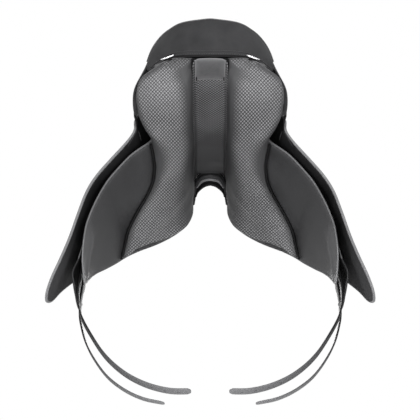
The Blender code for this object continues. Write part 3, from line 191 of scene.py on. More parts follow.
# Panel sections: Y, four points (X, Z) of the top from the channel outward, height of the lower seam,
# three points of the bearing face and its inner edge at the channel
PANEL_STATIONS = [
    (-0.219, [(0.039, 0.0095), (0.055, 0.0105), (0.07, 0.0095), (0.081, 0.008)], 0.003, [(0.084, -0.003),
     (0.066, -0.006), (0.05, -0.002)], (0.039, 0.005)),
    (-0.207, [(0.0375, 0.012), (0.066, 0.01), (0.088, 0.001), (0.1015, -0.0045)], -0.006, [(0.098, -0.021),
     (0.072, -0.027), (0.05, -0.021)], (0.038, -0.004)),
    (-0.18, [(0.037, 0.014), (0.07, 0.011), (0.098, 0.003), (0.111, -0.0055)], -0.013, [(0.112, -0.034),
     (0.08, -0.042), (0.052, -0.034)], (0.037, -0.01)),
    (-0.14, [(0.037, 0.014), (0.072, 0.01), (0.099, -0.0015), (0.116, -0.013)], -0.023, [(0.118, -0.042),
     (0.084, -0.048), (0.052, -0.038)], (0.037, -0.012)),
    (-0.1, [(0.037, 0.014), (0.068, 0.008), (0.092, -0.0035), (0.1095, -0.018)], -0.04, [(0.113, -0.052),
     (0.082, -0.05), (0.052, -0.038)], (0.037, -0.012)),
    (-0.06, [(0.037, 0.014), (0.062, 0.007), (0.083, -0.0045), (0.0975, -0.0185)], -0.058, [(0.104, -0.064),
     (0.078, -0.053), (0.052, -0.037)], (0.037, -0.012)),
    (-0.02, [(0.037, 0.014), (0.057, 0.007), (0.074, -0.0045), (0.0865, -0.019)], -0.065, [(0.096, -0.068),
     (0.072, -0.055), (0.05, -0.037)], (0.037, -0.012)),
    (0.02, [(0.037, 0.012), (0.052, 0.006), (0.066, -0.005), (0.077, -0.0195)], -0.074, [(0.095, -0.076),
     (0.071, -0.059), (0.05, -0.038)], (0.037, -0.012)),
    (0.06, [(0.037, 0.009), (0.047, 0.003), (0.058, -0.007), (0.068, -0.021)], -0.093, [(0.103, -0.092),
     (0.074, -0.068), (0.051, -0.042)], (0.037, -0.012)),
    (0.095, [(0.037, 0.005), (0.045, -0.003), (0.054, -0.012), (0.062, -0.0235)], -0.127, [(0.123, -0.12),
     (0.085, -0.084), (0.054, -0.049)], (0.037, -0.013)),
    (0.12, [(0.037, 0.0), (0.044, -0.009), (0.051, -0.018), (0.058, -0.026)], -0.162, [(0.143, -0.152),
     (0.095, -0.104), (0.056, -0.058)], (0.037, -0.014)),
    (0.138, [(0.037, -0.004), (0.043, -0.014), (0.049, -0.023), (0.055, -0.029)], -0.2205, [(0.163, -0.203),
     (0.106, -0.131), (0.057, -0.067)], (0.037, -0.015)),
    (0.152, [(0.037, -0.006), (0.042, -0.016), (0.047, -0.025), (0.053, -0.03)], -0.203, [(0.152, -0.184),
     (0.101, -0.124), (0.057, -0.067)], (0.037, -0.016)),
    (0.165, [(0.037, -0.007), (0.0415, -0.016), (0.046, -0.025), (0.051, -0.03)], -0.188, [(0.147, -0.17),
     (0.098, -0.118), (0.057, -0.066)], (0.037, -0.018)),
    (0.18, [(0.037, -0.008), (0.041, -0.016), (0.045, -0.025), (0.049, -0.03)], -0.171, [(0.131, -0.152),
     (0.088, -0.107), (0.054, -0.064)], (0.037, -0.019)),
    (0.195, [(0.037, -0.009), (0.04, -0.017), (0.043, -0.025), (0.047, -0.03)], -0.151, [(0.1105, -0.134),
     (0.075, -0.098), (0.0485, -0.061)], (0.037, -0.02)),
    (0.21, [(0.0375, -0.011), (0.0395, -0.018), (0.042, -0.025), (0.0445, -0.03)], -0.133,
     [(0.0855, -0.117), (0.061, -0.087), (0.045, -0.057)], (0.037, -0.021)),
    (0.222, [(0.0375, -0.013), (0.039, -0.019), (0.0405, -0.025), (0.042, -0.03)], -0.114,
     [(0.0655, -0.099), (0.052, -0.077), (0.041, -0.053)], (0.037, -0.022)),
    (0.232, [(0.0375, -0.016), (0.038, -0.021), (0.0385, -0.026), (0.039, -0.03)], -0.092, [(0.051, -0.08),
     (0.044, -0.065), (0.039, -0.048)], (0.0372, -0.026))
]
# Outer wall of the panel behind the sweat flap: upper, middle and lower points of the first six sections
PANEL_REAR_WALL = [
    [(0.09, 0.007), (0.095, 0.0055), (0.094, 0.002)],
    [(0.11, -0.001), (0.1165, -0.003), (0.1155, -0.008)],
    [(0.13, 0.001), (0.1375, -0.005), (0.1365, -0.013)],
    [(0.14, -0.0085), (0.1458, -0.016), (0.143, -0.023)],
    [(0.134, -0.0205), (0.14, -0.03), (0.1375, -0.04)],
    [(0.112, -0.033), (0.116, -0.046), (0.1185, -0.058)]
]
PANEL_TOP_INDEX = 1.05
PANEL_GAP = 0.0027
PANEL_LAST = len(PANEL_STATIONS) - 1
# Stations where the piping starts and how many it spans, and where the open rear lobe ends
PIPING_START = 5.3
PIPING_LENGTH = 5.68
LOBE_END = 5.35

# Free part of a girth strap below the flap, as (X, Z)
STRAP_STRAIGHT = [(0.2405, -0.26), (0.2465, -0.3125), (0.2525, -0.365)]
STRAP_FREE = [
    (0.2518, -0.4), (0.2455, -0.43), (0.2277, -0.466), (0.1965, -0.5145), (0.159, -0.5505),
    (0.118, -0.5735), (0.075, -0.5855), (0.036, -0.5865)
]
STRAP_FREE_FRONT = [
    (0.2525, -0.4), (0.248, -0.43), (0.2325, -0.477), (0.2005, -0.528), (0.167, -0.5588), (0.128, -0.5798),
    (0.086, -0.59)
]
REAR_STRAP_TWIST = math.radians(-2.0)
FRONT_STRAP_TWIST = math.radians(-15.0)


def spline(points, t):
    """Point at t on a smooth curve through control points; t runs from 0 to their count less 1."""
    last = len(points) - 1
    i = max(0, min(int(math.floor(t)), last - 1))
    f = t - i
    p = [Vector(points[max(0, min(k, last))]) for k in (i - 1, i, i + 1, i + 2)]
    if i == 0:
        p[0] = 2 * p[1] - p[2]
    if i == last - 1:
        p[3] = 2 * p[2] - p[1]
    if f < 0.0 or f > 1.0:
        return p[1] + (p[2] - p[1]) * f
    return 0.5 * (2 * p[1] + (p[2] - p[0]) * f + (2 * p[0] - 5 * p[1] + 4 * p[2] - p[3]) * f * f
                  + (3 * p[1] - p[0] - 3 * p[2] + p[3]) * f ** 3)


def spline_value(values, t):
    return spline([(v, 0.0) for v in values], t).x


def among(keys, x):
    """Place of x among rising keys: the key before it and the share of the way to the next."""
    j = 0
    while j < len(keys) - 2 and x > keys[j + 1]:
        j += 1
    return j, (x - keys[j]) / (keys[j + 1] - keys[j])


def edge_value(table, i):
    """Y of an outline at row index i, read smoothly from (index, Y) pairs."""
    j, share = among([k for k, _ in table], i)
    return spline_value([v for _, v in table], j + max(0.0, min(1.0, share)))


def blend_profiles(rear, front, rear_y, front_y, y, i):
    """Point (X, y, Z) between two side profiles."""
    a = spline(rear, i)
    b = spline(front, i)
    t = (y - rear_y) / (front_y - rear_y)
    x = a.x + (b.x - a.x) * t
    z = a.y + (b.y - a.y) * t
    return Vector((x, y, z))


def past_turn(y):
    """How far a station lies ahead of where the side turns inward, 1 at the front edge."""
    return max(0.0, (y - SIDE_TURN_Y[0]) / (SIDE_TURN_Y[1] - SIDE_TURN_Y[0]))


def side_point(y, i):
    p = blend_profiles(SIDE_REAR, SIDE_FRONT, SIDE_REAR_Y, SIDE_FRONT_Y, y, i)
    past = past_turn(y)
    p.x -= spline_value(SIDE_TURN, i) * past * past
    return p


def side_index(y, z):
    """Row index of the side surface at which it reaches a height."""
    low, high = 0.0, len(SIDE_REAR) - 1.0
    for _ in range(30):
        middle = (low + high) / 2
        if side_point(y, middle).z > z:
            low = middle
        else:
            high = middle
    return low


def flap_point(y, i):
    return blend_profiles(FLAP_REAR, FLAP_FRONT, FLAP_REAR_Y, FLAP_FRONT_Y, y, i)


def outward(surface, y, i):
    """Unit normal of a side surface, pointing away from the horse."""
    step = 0.02
    along = surface(y + 0.002, i) - surface(y - 0.002, i)
    down = surface(y, i + step) - surface(y, i - step)
    return down.cross(along).normalized()


def lifted(surface, y, i, distance):
    return surface(y, i) + outward(surface, y, i) * distance


def seat_point(r, u):
    """Top of the seat at row r and share u of its half width, from -1 at the left to 1 at the right."""
    across = abs(u) * (len(SEAT_ROWS[0]) - 1)
    column = [spline(row, across) for row in SEAT_ROWS]
    p = spline(column, r)
    return Vector((math.copysign(p.x, u) if u else 0.0, p.y, p.z))


def lowered(surface, a, b, step, distance):
    """A point under a surface, along its normal."""
    along = surface(a + step, b) - surface(a - step, b)
    across = surface(a, b + 0.02) - surface(a, b - 0.02)
    return surface(a, b) - across.cross(along).normalized() * distance


def seat_lowered(r, u, distance):
    return lowered(seat_point, r, u, 0.05, distance)


def tree_point(y, c):
    """Top of the tree at station y and signed share c of its half width."""
    t = sum(among([station for station, _ in TREE_STATIONS], y))
    across = abs(c) * (len(TREE_STATIONS[0][1]) - 1)
    p = spline([spline(section, across) for _, section in TREE_STATIONS], t)
    return Vector((math.copysign(p.x, c) if c else 0.0, y, p.y))


def tree_lowered(y, c, distance):
    return lowered(tree_point, y, c, 0.004, distance)


def hinge_point(y):
    t = (y - HINGE_REAR[1]) / (HINGE_FRONT[1] - HINGE_REAR[1])
    return Vector((HINGE_REAR[0] + (HINGE_FRONT[0] - HINGE_REAR[0]) * t, y,
                   HINGE_REAR[2] + (HINGE_FRONT[2] - HINGE_REAR[2]) * t))


def panel_seam(t):
    """Y and Z of a panel's lower seam at station t."""
    return spline_value([s[0] for s in PANEL_STATIONS], t), spline_value([s[2] for s in PANEL_STATIONS], t)


def seam_point(t):
    """Point of the side surface on a panel's lower seam at station t, with its row index."""
    y, z = panel_seam(t)
    i = side_index(y, z)
    return side_point(y, i), i


def skirt_lift(y, i):
    across = (y - SKIRT_BULGE_AT[0]) / SKIRT_BULGE_SPREAD[0]
    down = (i - SKIRT_BULGE_AT[1]) / SKIRT_BULGE_SPREAD[1]
    return SKIRT_LIFT + SKIRT_BULGE * math.exp(-across * across - down * down)


def to_array(points):
    return np.array([tuple(p) for p in points], float)


def unit(v):
    v = np.asarray(v, float)
    return v / np.maximum(np.linalg.norm(v, axis=-1, keepdims=True), 1e-12)


def smooth_step(a, b, x):
    t = min(1.0, max(0.0, (x - a) / (b - a)))
    return t * t * (3 - 2 * t)


def walk(path):
    """Distance along a path at each of its points."""
    steps = np.linalg.norm(np.diff(path, axis=0), axis=1)
    return np.concatenate([[0.0], np.cumsum(steps)])


def resample(path, count, *extra):
    """A path, and anything given along it, at evenly spaced points."""
    path = np.asarray(path, float)
    s = walk(path)
    at = np.linspace(0.0, s[-1], count)
    out = [np.stack([np.interp(at, s, a[:, k]) for k in range(a.shape[1])], axis=1)
           for a in (path, *[np.asarray(e, float) for e in extra])]
    return out[0] if not extra else out


def smoothed(path, rounds=2):
    path = np.array(path, float)
    for _ in range(rounds):
        path[1:-1] = (path[:-2] + 2 * path[1:-1] + path[2:]) / 4
    return path


def grid_normals(P, towards):
    """Unit normals of a grid of points, on the side of a direction."""
    N = unit(np.cross(np.gradient(P, axis=1), np.gradient(P, axis=0)))
    middle = N[N.shape[0] // 2, N.shape[1] // 2]
    return N if middle @ np.asarray(towards, float) > 0 else -N


def steps_to(last, count):
    """Evenly spaced numbers from 0 to last."""
    return [last * k / (count - 1) for k in range(count)]


def shares_across(count):
    """Evenly spaced shares from -1 to 1."""
    return [-1 + 2 * c / (count - 1) for c in range(count)]


def linked(name, data):
    obj = bpy.data.objects.new(name, data)
    bpy.context.scene.collection.objects.link(obj)
    return obj


def face_outward(mesh):
    """Turns every face of a closed mesh outward."""
    bm = bmesh.new()
    bm.from_mesh(mesh)
    bmesh.ops.recalc_face_normals(bm, faces=bm.faces)
    bm.to_mesh(mesh)
    bm.free()


class Piece:
    """Closed patches of the right-hand side, gathered into one object for either side."""

    def __init__(self):
        self.points, self.faces, self.slots, self.coords, self.edges, self.count = [], [], [], [], [], 0

    def add(self, points, faces, slot=0, coords=None, edge=0.0):
        points = np.asarray(points, float).reshape(-1, 3)
        self.points.append(points)
        for f in faces:
            self.faces.append([k + self.count for k in f])
            self.slots.append(slot)
        self.coords.append(np.zeros((len(points), 2)) if coords is None else np.asarray(coords, float))
        self.edges.append(np.broadcast_to(np.asarray(edge, float), (len(points),)))
        self.count += len(points)

    def mesh(self, name, side=1):
        points = np.concatenate(self.points) * [side, 1, 1]
        made = bpy.data.meshes.new(name)
        made.from_pydata(points.tolist(), [], self.faces)
        made.polygons.foreach_set("material_index", self.slots)
        coords = made.attributes.new("surface", "FLOAT_VECTOR", "POINT")
        flat = np.concatenate([np.concatenate(self.coords), np.zeros((self.count, 1))], axis=1)
        coords.data.foreach_set("vector", flat.astype(np.float32).ravel())
        edges = made.attributes.new("edge", "FLOAT", "POINT")
        edges.data.foreach_set("value", np.concatenate(self.edges).astype(np.float32))
        face_outward(made)
        return made

    def make(self, name, materials, body, side=1, replaces=(), slot=None, degrees=48.0, levels=0):
        """The visible object for a side, riding a body of the frame in place of the solids it replaces."""
        mesh = self.mesh(name, side)
        for material in materials:
            mesh.materials.append(material)
        obj = linked(name, mesh)
        if levels:
            sub = obj.modifiers.new("subdivision", "SUBSURF")
            sub.levels = sub.render_levels = levels
            applied(obj)
        obj.data.shade_smooth()
        obj.data.set_sharp_from_angle(angle=math.radians(degrees))
        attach(obj, body)
        if replaces:
            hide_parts(*replaces)
        return obj

    def make_both(self, name, materials, body="saddle", replaces=None, slot=None):
        """The object for the right and for the left; braces in the body's name take the side's word."""
        for side, word in SIDES:
            solids = [f"{replaces}_{word}"] if replaces else ()
            self.make(f"{name}_{word}", materials, body.format(word), side, solids, slot)


def applied(obj):
    """Replaces an object's mesh by what its modifiers make of it."""
    bpy.context.view_layer.update()
    graph = bpy.context.evaluated_depsgraph_get()
    mesh = bpy.data.meshes.new_from_object(obj.evaluated_get(graph), preserve_all_data_layers=True,
                                           depsgraph=graph)
    obj.modifiers.clear()
    obj.data = mesh


def grid_faces(rows, columns, around=False):
    faces = []
    for r in range(rows - 1):
        for c in range(columns if around else columns - 1):
            n = (c + 1) % columns
            faces.append([r * columns + c, r * columns + n, (r + 1) * columns + n, (r + 1) * columns + c])
    return faces


def spans(P):
    """Distances along the columns and rows of a grid, from its middle row and column."""
    across = np.zeros(P.shape[:2])
    across[:, 1:] = np.cumsum(np.linalg.norm(np.diff(P, axis=1), axis=2), axis=1)
    across -= across[:, P.shape[1] // 2][:, None]
    down = np.zeros(P.shape[:2])
    down[1:] = np.cumsum(np.linalg.norm(np.diff(P, axis=0), axis=2), axis=0)
    return across, down


def border(rows, columns):
    """Indices round the outside of a grid."""
    return ([(0, c) for c in range(columns)] + [(r, columns - 1) for r in range(1, rows)]
            + [(rows - 1, c) for c in range(columns - 2, -1, -1)]
            + [(r, 0) for r in range(rows - 2, 0, -1)])


RIM_WEAR_AND_SHEEN = 0.005


def shell(piece, P, N, thick, rim_slot=None, steps=4, under_slot=None):
    """A sheet over a grid, thickened along the normals, with a rounded rim whose colour lightens first:
    rubbed wear and painted highlight along the rim.
    """
    rows, columns = P.shape[:2]
    t = np.broadcast_to(np.asarray(thick, float), (rows, columns))
    top = P + N * t[..., None]
    loop = border(rows, columns)
    r, c = np.array([k[0] for k in loop]), np.array([k[1] for k in loop])
    middle, n = (P[r, c] + top[r, c]) / 2, N[r, c]
    tangent = np.roll(middle, -1, axis=0) - np.roll(middle, 1, axis=0)
    out = unit(np.cross(tangent, n))
    inside = P[np.clip(r, 1, rows - 2), np.clip(c, 1, columns - 2)]
    if ((middle - inside) * out).sum() < 0:
        out = -out
    across, down = spans(P)
    coords = np.stack([across, down], axis=2)
    far = np.linalg.norm(P[:, :, None, :] - P[r, c][None, None, ::2, :], axis=3).min(axis=2)
    # Edge value rising to 1 at the rim, where the colour lightens: rubbed wear and painted highlight along
    # the edge
    edge = np.exp(-far / RIM_WEAR_AND_SHEEN).ravel()
    half = (t[r, c] / 2)[:, None]
    rings = [middle + n * half * math.cos(math.pi * j / steps) + out * half * math.sin(math.pi * j / steps)
             for j in range(1, steps)]
    points = np.concatenate([top.reshape(-1, 3), P.reshape(-1, 3)] + rings)
    count, length = rows * columns, len(loop)
    at = r * columns + c
    bands = [at] + [2 * count + length * j + np.arange(length) for j in range(steps - 1)] + [count + at]
    faces = grid_faces(rows, columns)
    faces += [[k + count for k in f[::-1]] for f in grid_faces(rows, columns)]
    rim = []
    for a, b in zip(bands[:-1], bands[1:]):
        for k in range(length):
            m = (k + 1) % length
            rim.append([a[k], a[m], b[m], b[k]])
    flat = coords.reshape(-1, 2)
    every = np.concatenate([flat, flat] + [flat[at]] * (steps - 1))
    worn_and_lit = np.concatenate([edge, edge] + [np.ones(length)] * (steps - 1))
    piece.add(points, faces + rim, 0, every, worn_and_lit)
    if under_slot is not None:
        piece.slots[-len(rim) - len(faces) // 2:-len(rim)] = [under_slot] * (len(faces) // 2)
    if rim_slot is not None:
        piece.slots[-len(rim):] = [rim_slot] * len(rim)
    return top


def carried(path, closed=False):
    """Tangents and two steady side directions along a path."""
    path = np.asarray(path, float)
    if closed:
        T = unit(np.roll(path, -1, axis=0) - np.roll(path, 1, axis=0))
    else:
        T = unit(np.gradient(path, axis=0))
    a = np.cross(T[0], [0.0, 0.0, 1.0])
    if np.linalg.norm(a) < 0.1:
        a = np.cross(T[0], [0.0, 1.0, 0.0])
    A = [unit(a)]
    for k in range(1, len(path)):
        v = A[-1] - T[k] * (A[-1] @ T[k])
        A.append(unit(v))
    A = np.array(A)
    return T, A, np.cross(T, A)


def tube(piece, path, radius, sides=8, closed=False, slot=0, edge=0.0):
    """A round cord along a path, with domed ends."""
    path = np.asarray(path, float)
    radius = np.broadcast_to(np.asarray(radius, float), (len(path),)).copy()
    T, A, B = carried(path, closed)
    if not closed:
        ends, dome = [], [(0.3, 0.95), (0.7, 0.7), (0.95, 0.3)]
        for k, way in ((0, -1), (-1, 1)):
            ends.append([(path[k] + T[k] * way * radius[k] * a, radius[k] * b) for a, b in dome])
        path = np.concatenate([[p for p, _ in ends[0][::-1]], path, [p for p, _ in ends[1]]])
        radius = np.concatenate([[q for _, q in ends[0][::-1]], radius, [q for _, q in ends[1]]])
        A = np.concatenate([[A[0]] * 3, A, [A[-1]] * 3])
        B = np.concatenate([[B[0]] * 3, B, [B[-1]] * 3])
    angle = 2 * np.pi * np.arange(sides) / sides
    ring = A[:, None, :] * np.cos(angle)[None, :, None] + B[:, None, :] * np.sin(angle)[None, :, None]
    points = path[:, None, :] + ring * radius[:, None, None]
    count = len(path)
    faces = grid_faces(count, sides, True)
    if closed:
        shift = int(np.argmin(np.linalg.norm(points[0] - points[-1][0], axis=1)))
        last = (count - 1) * sides
        for c in range(sides):
            n = (c + 1) % sides
            faces.append([last + c, last + n, (shift + n) % sides, (shift + c) % sides])
    else:
        faces += [list(range(sides))[::-1], [(count - 1) * sides + c for c in range(sides)]]
    along = walk(path)
    coords = np.stack([np.broadcast_to(angle * radius.mean(), (count, sides)),
                       np.broadcast_to(along[:, None], (count, sides))], axis=2).reshape(-1, 2)
    piece.add(points, faces, slot, coords, edge)


def stitches(piece, path, normals, pitch=0.0045, length=0.0033, radius=0.00042, slot=0):
    """Thread laid along a path on a surface, one small rounded stitch after another."""
    path, normals = np.asarray(path, float), np.asarray(normals, float)
    total = walk(path)[-1]
    count = max(2, int(total / pitch))
    P, N = resample(path, 2 * count + 1, normals)
    P, N = P[1::2], unit(N[1::2])
    T = unit(np.gradient(P, axis=0))
    B = unit(np.cross(N, T))
    rings = [(-0.5, 0.35), (-0.3, 1.0), (0.3, 1.0), (0.5, 0.35)]
    angle = 2 * np.pi * np.arange(6) / 6
    for p, n, t, b in zip(P, N, T, B):
        points = []
        for along, size in rings:
            centre = p + t * along * length + n * radius * 0.25
            for a in angle:
                points.append(centre + (b * math.cos(a) + n * math.sin(a)) * radius * size)
        faces = grid_faces(4, 6, True) + [[5, 4, 3, 2, 1, 0], [18, 19, 20, 21, 22, 23]]
        piece.add(points, faces, slot)


def turned(piece, centre, axis, profile, sides=20):
    """A solid turned about an axis, from (radius, height) pairs that begin and end on it."""
    centre, axis = np.asarray(centre), unit(axis)
    a = unit(np.cross(axis, [0.0, 1.0, 0.1]))
    b = np.cross(axis, a)
    points, start = [], []
    for radius, height in profile[1:-1]:
        start.append(len(points))
        for k in range(sides):
            angle = 2 * math.pi * k / sides
            points.append(centre + axis * height + (a * math.cos(angle) + b * math.sin(angle)) * radius)
    faces = grid_faces(len(profile) - 2, sides, True)
    points += [centre + axis * profile[0][1], centre + axis * profile[-1][1]]
    first, last = len(points) - 2, len(points) - 1
    for k in range(sides):
        n = (k + 1) % sides
        faces.append([first, n, k])
        faces.append([last, start[-1] + k, start[-1] + n])
    piece.add(points, faces)


def loft(piece, loops, slot=0, coords=None, domes=((0.0, 0), (0.0, 0))):
    """A solid through equal loops, closed at each end by a dome of a given length and fullness."""
    loops = [np.asarray(p, float) for p in loops]
    coords = list(coords) if coords is not None else None
    extra = [0, 0]
    for way in (0, 1):
        reach, rounds = domes[way]
        if not reach:
            continue
        end, before = (loops[0], loops[1]) if way == 0 else (loops[-1], loops[-2])
        centre = end.mean(axis=0)
        direction = unit(centre - before.mean(axis=0))
        more = []
        for k in range(1, rounds + 1):
            a = math.pi / 2 * k / (rounds + 0.35)
            more.append(centre + (end - centre) * math.cos(a) + direction * reach * math.sin(a))
        if way == 0:
            loops = more[::-1] + loops
            coords = [coords[0]] * len(more) + coords if coords is not None else None
        else:
            loops = loops + more
            coords = coords + [coords[-1]] * len(more) if coords is not None else None
        extra[way] = len(more)
    count, size = len(loops), len(loops[0])
    faces = grid_faces(count, size, True)
    faces += [list(range(size))[::-1], [(count - 1) * size + c for c in range(size)]]
    flat = None if coords is None else np.concatenate(coords)
    piece.add(np.concatenate(loops), faces, slot, flat)
    return extra


def bar_loops(centres, wides, half_widths, half_thicks, rounding):
    """Rounded rectangular sections along a line; wides gives the direction of the width at each point."""
    corner = 4
    centres, wides = np.asarray(centres, float), np.asarray(wides, float)
    T = unit(np.gradient(centres, axis=0))
    loops, marks = [], []
    for p, t, w, hw, ht in zip(centres, T, wides, half_widths, half_thicks):
        w = unit(w - t * (w @ t))
        n = np.cross(t, w)
        r = min(hw, ht) * rounding * 2
        r = min(r, hw * 0.98, ht * 0.98)
        loop = []
        for sx, sy, start in ((1, 1, 0), (-1, 1, 90), (-1, -1, 180), (1, -1, 270)):
            for k in range(corner):
                a = math.radians(start + 90 * k / (corner - 1))
                across, out = sx * (hw - r) + r * math.cos(a), sy * (ht - r) + r * math.sin(a)
                loop.append(p + w * across + n * out)
        loops.append(np.array(loop))
        marks.append((t, w, n))
    return loops, marks


SETTLING_FRAMES = 20


def swollen(points, faces, held, pressure, cap, stiffness=12.0):
    """Where cloth under pressure puts the points of a closed mesh, up to a cap; held points stay."""
    mesh = bpy.data.meshes.new("swelling")
    mesh.from_pydata(points.tolist(), [], faces)
    face_outward(mesh)
    obj = linked("swelling", mesh)
    group = obj.vertex_groups.new(name="held")
    for k, weight in enumerate(held):
        if weight > 0:
            group.add([k], float(weight), "REPLACE")
    cloth = obj.modifiers.new("cloth", "CLOTH")
    settings = cloth.settings
    settings.quality = 6
    settings.mass = 0.25
    settings.tension_stiffness = settings.compression_stiffness = stiffness
    settings.shear_stiffness = stiffness * 0.6
    settings.bending_stiffness = 0.8
    settings.use_pressure = True
    settings.uniform_pressure_force = pressure
    settings.vertex_group_mass = "held"
    settings.pin_stiffness = 1.0
    settings.effector_weights.gravity = 0.0
    cloth.collision_settings.use_collision = False
    cloth.point_cache.frame_start, cloth.point_cache.frame_end = 1, SETTLING_FRAMES
    scene = bpy.context.scene
    for frame_number in range(1, SETTLING_FRAMES + 1):
        scene.frame_set(frame_number)
    graph = bpy.context.evaluated_depsgraph_get()
    posed = obj.evaluated_get(graph).data
    moved = np.zeros(len(points) * 3, np.float32)
    posed.vertices.foreach_get("co", moved)
    moved = moved.reshape(-1, 3).astype(float)
    scene.frame_set(1)
    bpy.data.objects.remove(obj)
    step = moved - points
    size = np.linalg.norm(step, axis=1, keepdims=True)
    step *= np.minimum(1.0, cap * np.tanh(size / cap) / np.maximum(size, 1e-9))
    return points + step * (1.0 - np.asarray(held, float))[:, None]


def make_node(tree, kind, values=None, **settings):
    """A shader node; values are numbers or the sockets that feed its inputs."""
    made = tree.nodes.new(kind)
    for key, value in settings.items():
        setattr(made, key, value)
    for key, value in (values or {}).items():
        if isinstance(value, bpy.types.NodeSocket):
            tree.links.new(value, made.inputs[key])
        else:
            made.inputs[key].default_value = value
    return made


def maths(tree, operation, a, b=0.0):
    return make_node(tree, "ShaderNodeMath", {0: a, 1: b}, operation=operation).outputs[0]


def times(tree, a, b):
    return maths(tree, "MULTIPLY", a, b)


def plus(tree, a, b):
    return maths(tree, "ADD", a, b)


def minus(tree, a, b):
    return maths(tree, "SUBTRACT", a, b)


def ramp(tree, value, low, high, to_low=0.0, to_high=1.0):
    values = {"Value": value, "From Min": low, "From Max": high, "To Min": to_low, "To Max": to_high}
    return make_node(tree, "ShaderNodeMapRange", values, clamp=True).outputs[0]


def tint(tree, share, a, b):
    made = make_node(tree, "ShaderNodeMix", data_type="RGBA", clamp_factor=True)
    for key, value in ((0, share), (6, a), (7, b)):
        if isinstance(value, bpy.types.NodeSocket):
            tree.links.new(value, made.inputs[key])
        else:
            made.inputs[key].default_value = (*value, 1.0) if key else value
    return made.outputs[2]


def noise(tree, where, scale, detail=3.0, rough=0.5):
    values = {"Vector": where, "Scale": scale, "Detail": detail, "Roughness": rough}
    return make_node(tree, "ShaderNodeTexNoise", values).outputs[0]


def start_material(name, **principled):
    made = bpy.data.materials.new(name)
    made.use_nodes = True
    tree = made.node_tree
    shader = tree.nodes["Principled BSDF"]
    for key, value in principled.items():
        shader.inputs[key.replace("_", " ")].default_value = value
    where = make_node(tree, "ShaderNodeTexCoord").outputs["Object"]
    surface = make_node(tree, "ShaderNodeAttribute", attribute_name="surface").outputs["Vector"]
    edge = make_node(tree, "ShaderNodeAttribute", attribute_name="edge").outputs["Fac"]
    return made, tree, shader, where, surface, edge


def finish_material(tree, shader, colour, roughness, height, distance, strength=0.6):
    tree.links.new(colour, shader.inputs["Base Color"])
    tree.links.new(roughness, shader.inputs["Roughness"])
    bump = make_node(tree, "ShaderNodeBump", {"Strength": strength, "Distance": distance, "Height": height})
    tree.links.new(bump.outputs[0], shader.inputs["Normal"])


def leather(name, dark, light, rough=(0.42, 0.56), grain=700.0, depth=0.00025, wear_and_light=0.35, rub_and_light=None,
            **principled):
    """Grained synthetic leather: pebbled skin, slow changes of tone, and a lighter colour where the edge
    value is set: rubbed wear on plain leathers, painted highlight on rims and beads, painted light and shade
    along flaps and straps.
    """
    made, tree, shader, where, _, edge = start_material(name, **principled)
    slow = noise(tree, where, 14.0, 2.0)
    fine = noise(tree, where, 160.0, 4.0, 0.6)
    cells = make_node(tree, "ShaderNodeTexVoronoi", {"Vector": where, "Scale": grain},
                      feature="SMOOTH_F1").outputs["Distance"]
    blended = plus(tree, times(tree, slow, 0.65), times(tree, fine, 0.35))
    colour = tint(tree, ramp(tree, blended, 0.35, 0.65), dark, light)
    patchy = times(tree, ramp(tree, fine, 0.4, 0.6), wear_and_light)
    # The edge value times this weight lightens the colour: rubbed wear, and painted highlight and painted
    # light where a piece sets the edge value for them
    rubbed_and_lit = times(tree, edge, patchy if rub_and_light is None else wear_and_light)
    colour = tint(tree, rubbed_and_lit, colour, rub_and_light or tuple(min(1.0, 2.4 * v + 0.02) for v in light))
    roughness = ramp(tree, plus(tree, slow, times(tree, fine, 0.5)), 0.55, 0.95, *rough)
    height = plus(tree, times(tree, cells, 0.7), times(tree, fine, 0.6))
    finish_material(tree, shader, colour, roughness, height, depth)
    return made


DOT_PITCH = 0.0048
DOT_DEPTH = 0.001
YARN_PITCH = 0.0016


def dotted(name, dark, light, **principled):
    """Panel cloth with raised dots in diagonal rows, coloured lighter on the dots and darker between them as
    painted light and shade on the raised pattern; smooth where the edge value is 1, darker towards 2 as
    painted shade.
    """
    made, tree, shader, where, surface, edge = start_material(name, **principled)
    parts = make_node(tree, "ShaderNodeSeparateXYZ", {0: surface}).outputs
    k = math.pi / DOT_PITCH / math.sqrt(2)
    a = times(tree, plus(tree, parts[0], parts[1]), k)
    b = times(tree, minus(tree, parts[0], parts[1]), k)
    dots = times(tree, maths(tree, "ABSOLUTE", maths(tree, "SINE", a)),
                 maths(tree, "ABSOLUTE", maths(tree, "SINE", b)))
    fine = noise(tree, where, 420.0, 3.0, 0.6)
    slow = noise(tree, where, 11.0, 2.0)
    # Edge value 1 hides the dots, values towards 2 darken the plain cloth further: painted shade
    smooth = maths(tree, "MINIMUM", edge, 1.0)
    shaded = maths(tree, "MAXIMUM", minus(tree, edge, 1.0), 0.0)
    shown = times(tree, ramp(tree, dots, 0.15, 0.7), minus(tree, 1.0, smooth))
    level = times(tree, smooth, minus(tree, 0.14, times(tree, shaded, 0.14)))
    tone = plus(tree, times(tree, shown, 0.85),
                 times(tree, ramp(tree, slow, 0.35, 0.65), 0.15))
    tone = maths(tree, "MAXIMUM", tone, level)
    colour = tint(tree, tone, dark, light)
    roughness = ramp(tree, plus(tree, shown, times(tree, fine, 0.6)), 0.2, 1.4, 0.62, 0.42)
    height = plus(tree, shown, times(tree, fine, 0.22))
    finish_material(tree, shader, colour, roughness, height, DOT_DEPTH, 0.7)
    return made


def suede_material(name, dark, light, **principled):
    """Brushed microfibre: short nap that lies in soft patches."""
    made, tree, shader, where, *_ = start_material(name, **principled)
    nap = noise(tree, where, 1500.0, 3.0, 0.7)
    patch = noise(tree, where, 26.0, 3.0, 0.55)
    slow = noise(tree, where, 7.0, 1.0)
    tone = plus(tree, times(tree, patch, 0.5),
                 plus(tree, times(tree, slow, 0.3), times(tree, nap, 0.2)))
    colour = tint(tree, ramp(tree, tone, 0.38, 0.62), dark, light)
    finish_material(tree, shader, colour, ramp(tree, nap, 0.3, 0.7, 0.86, 0.98), nap, 0.00025, 0.5)
    return made


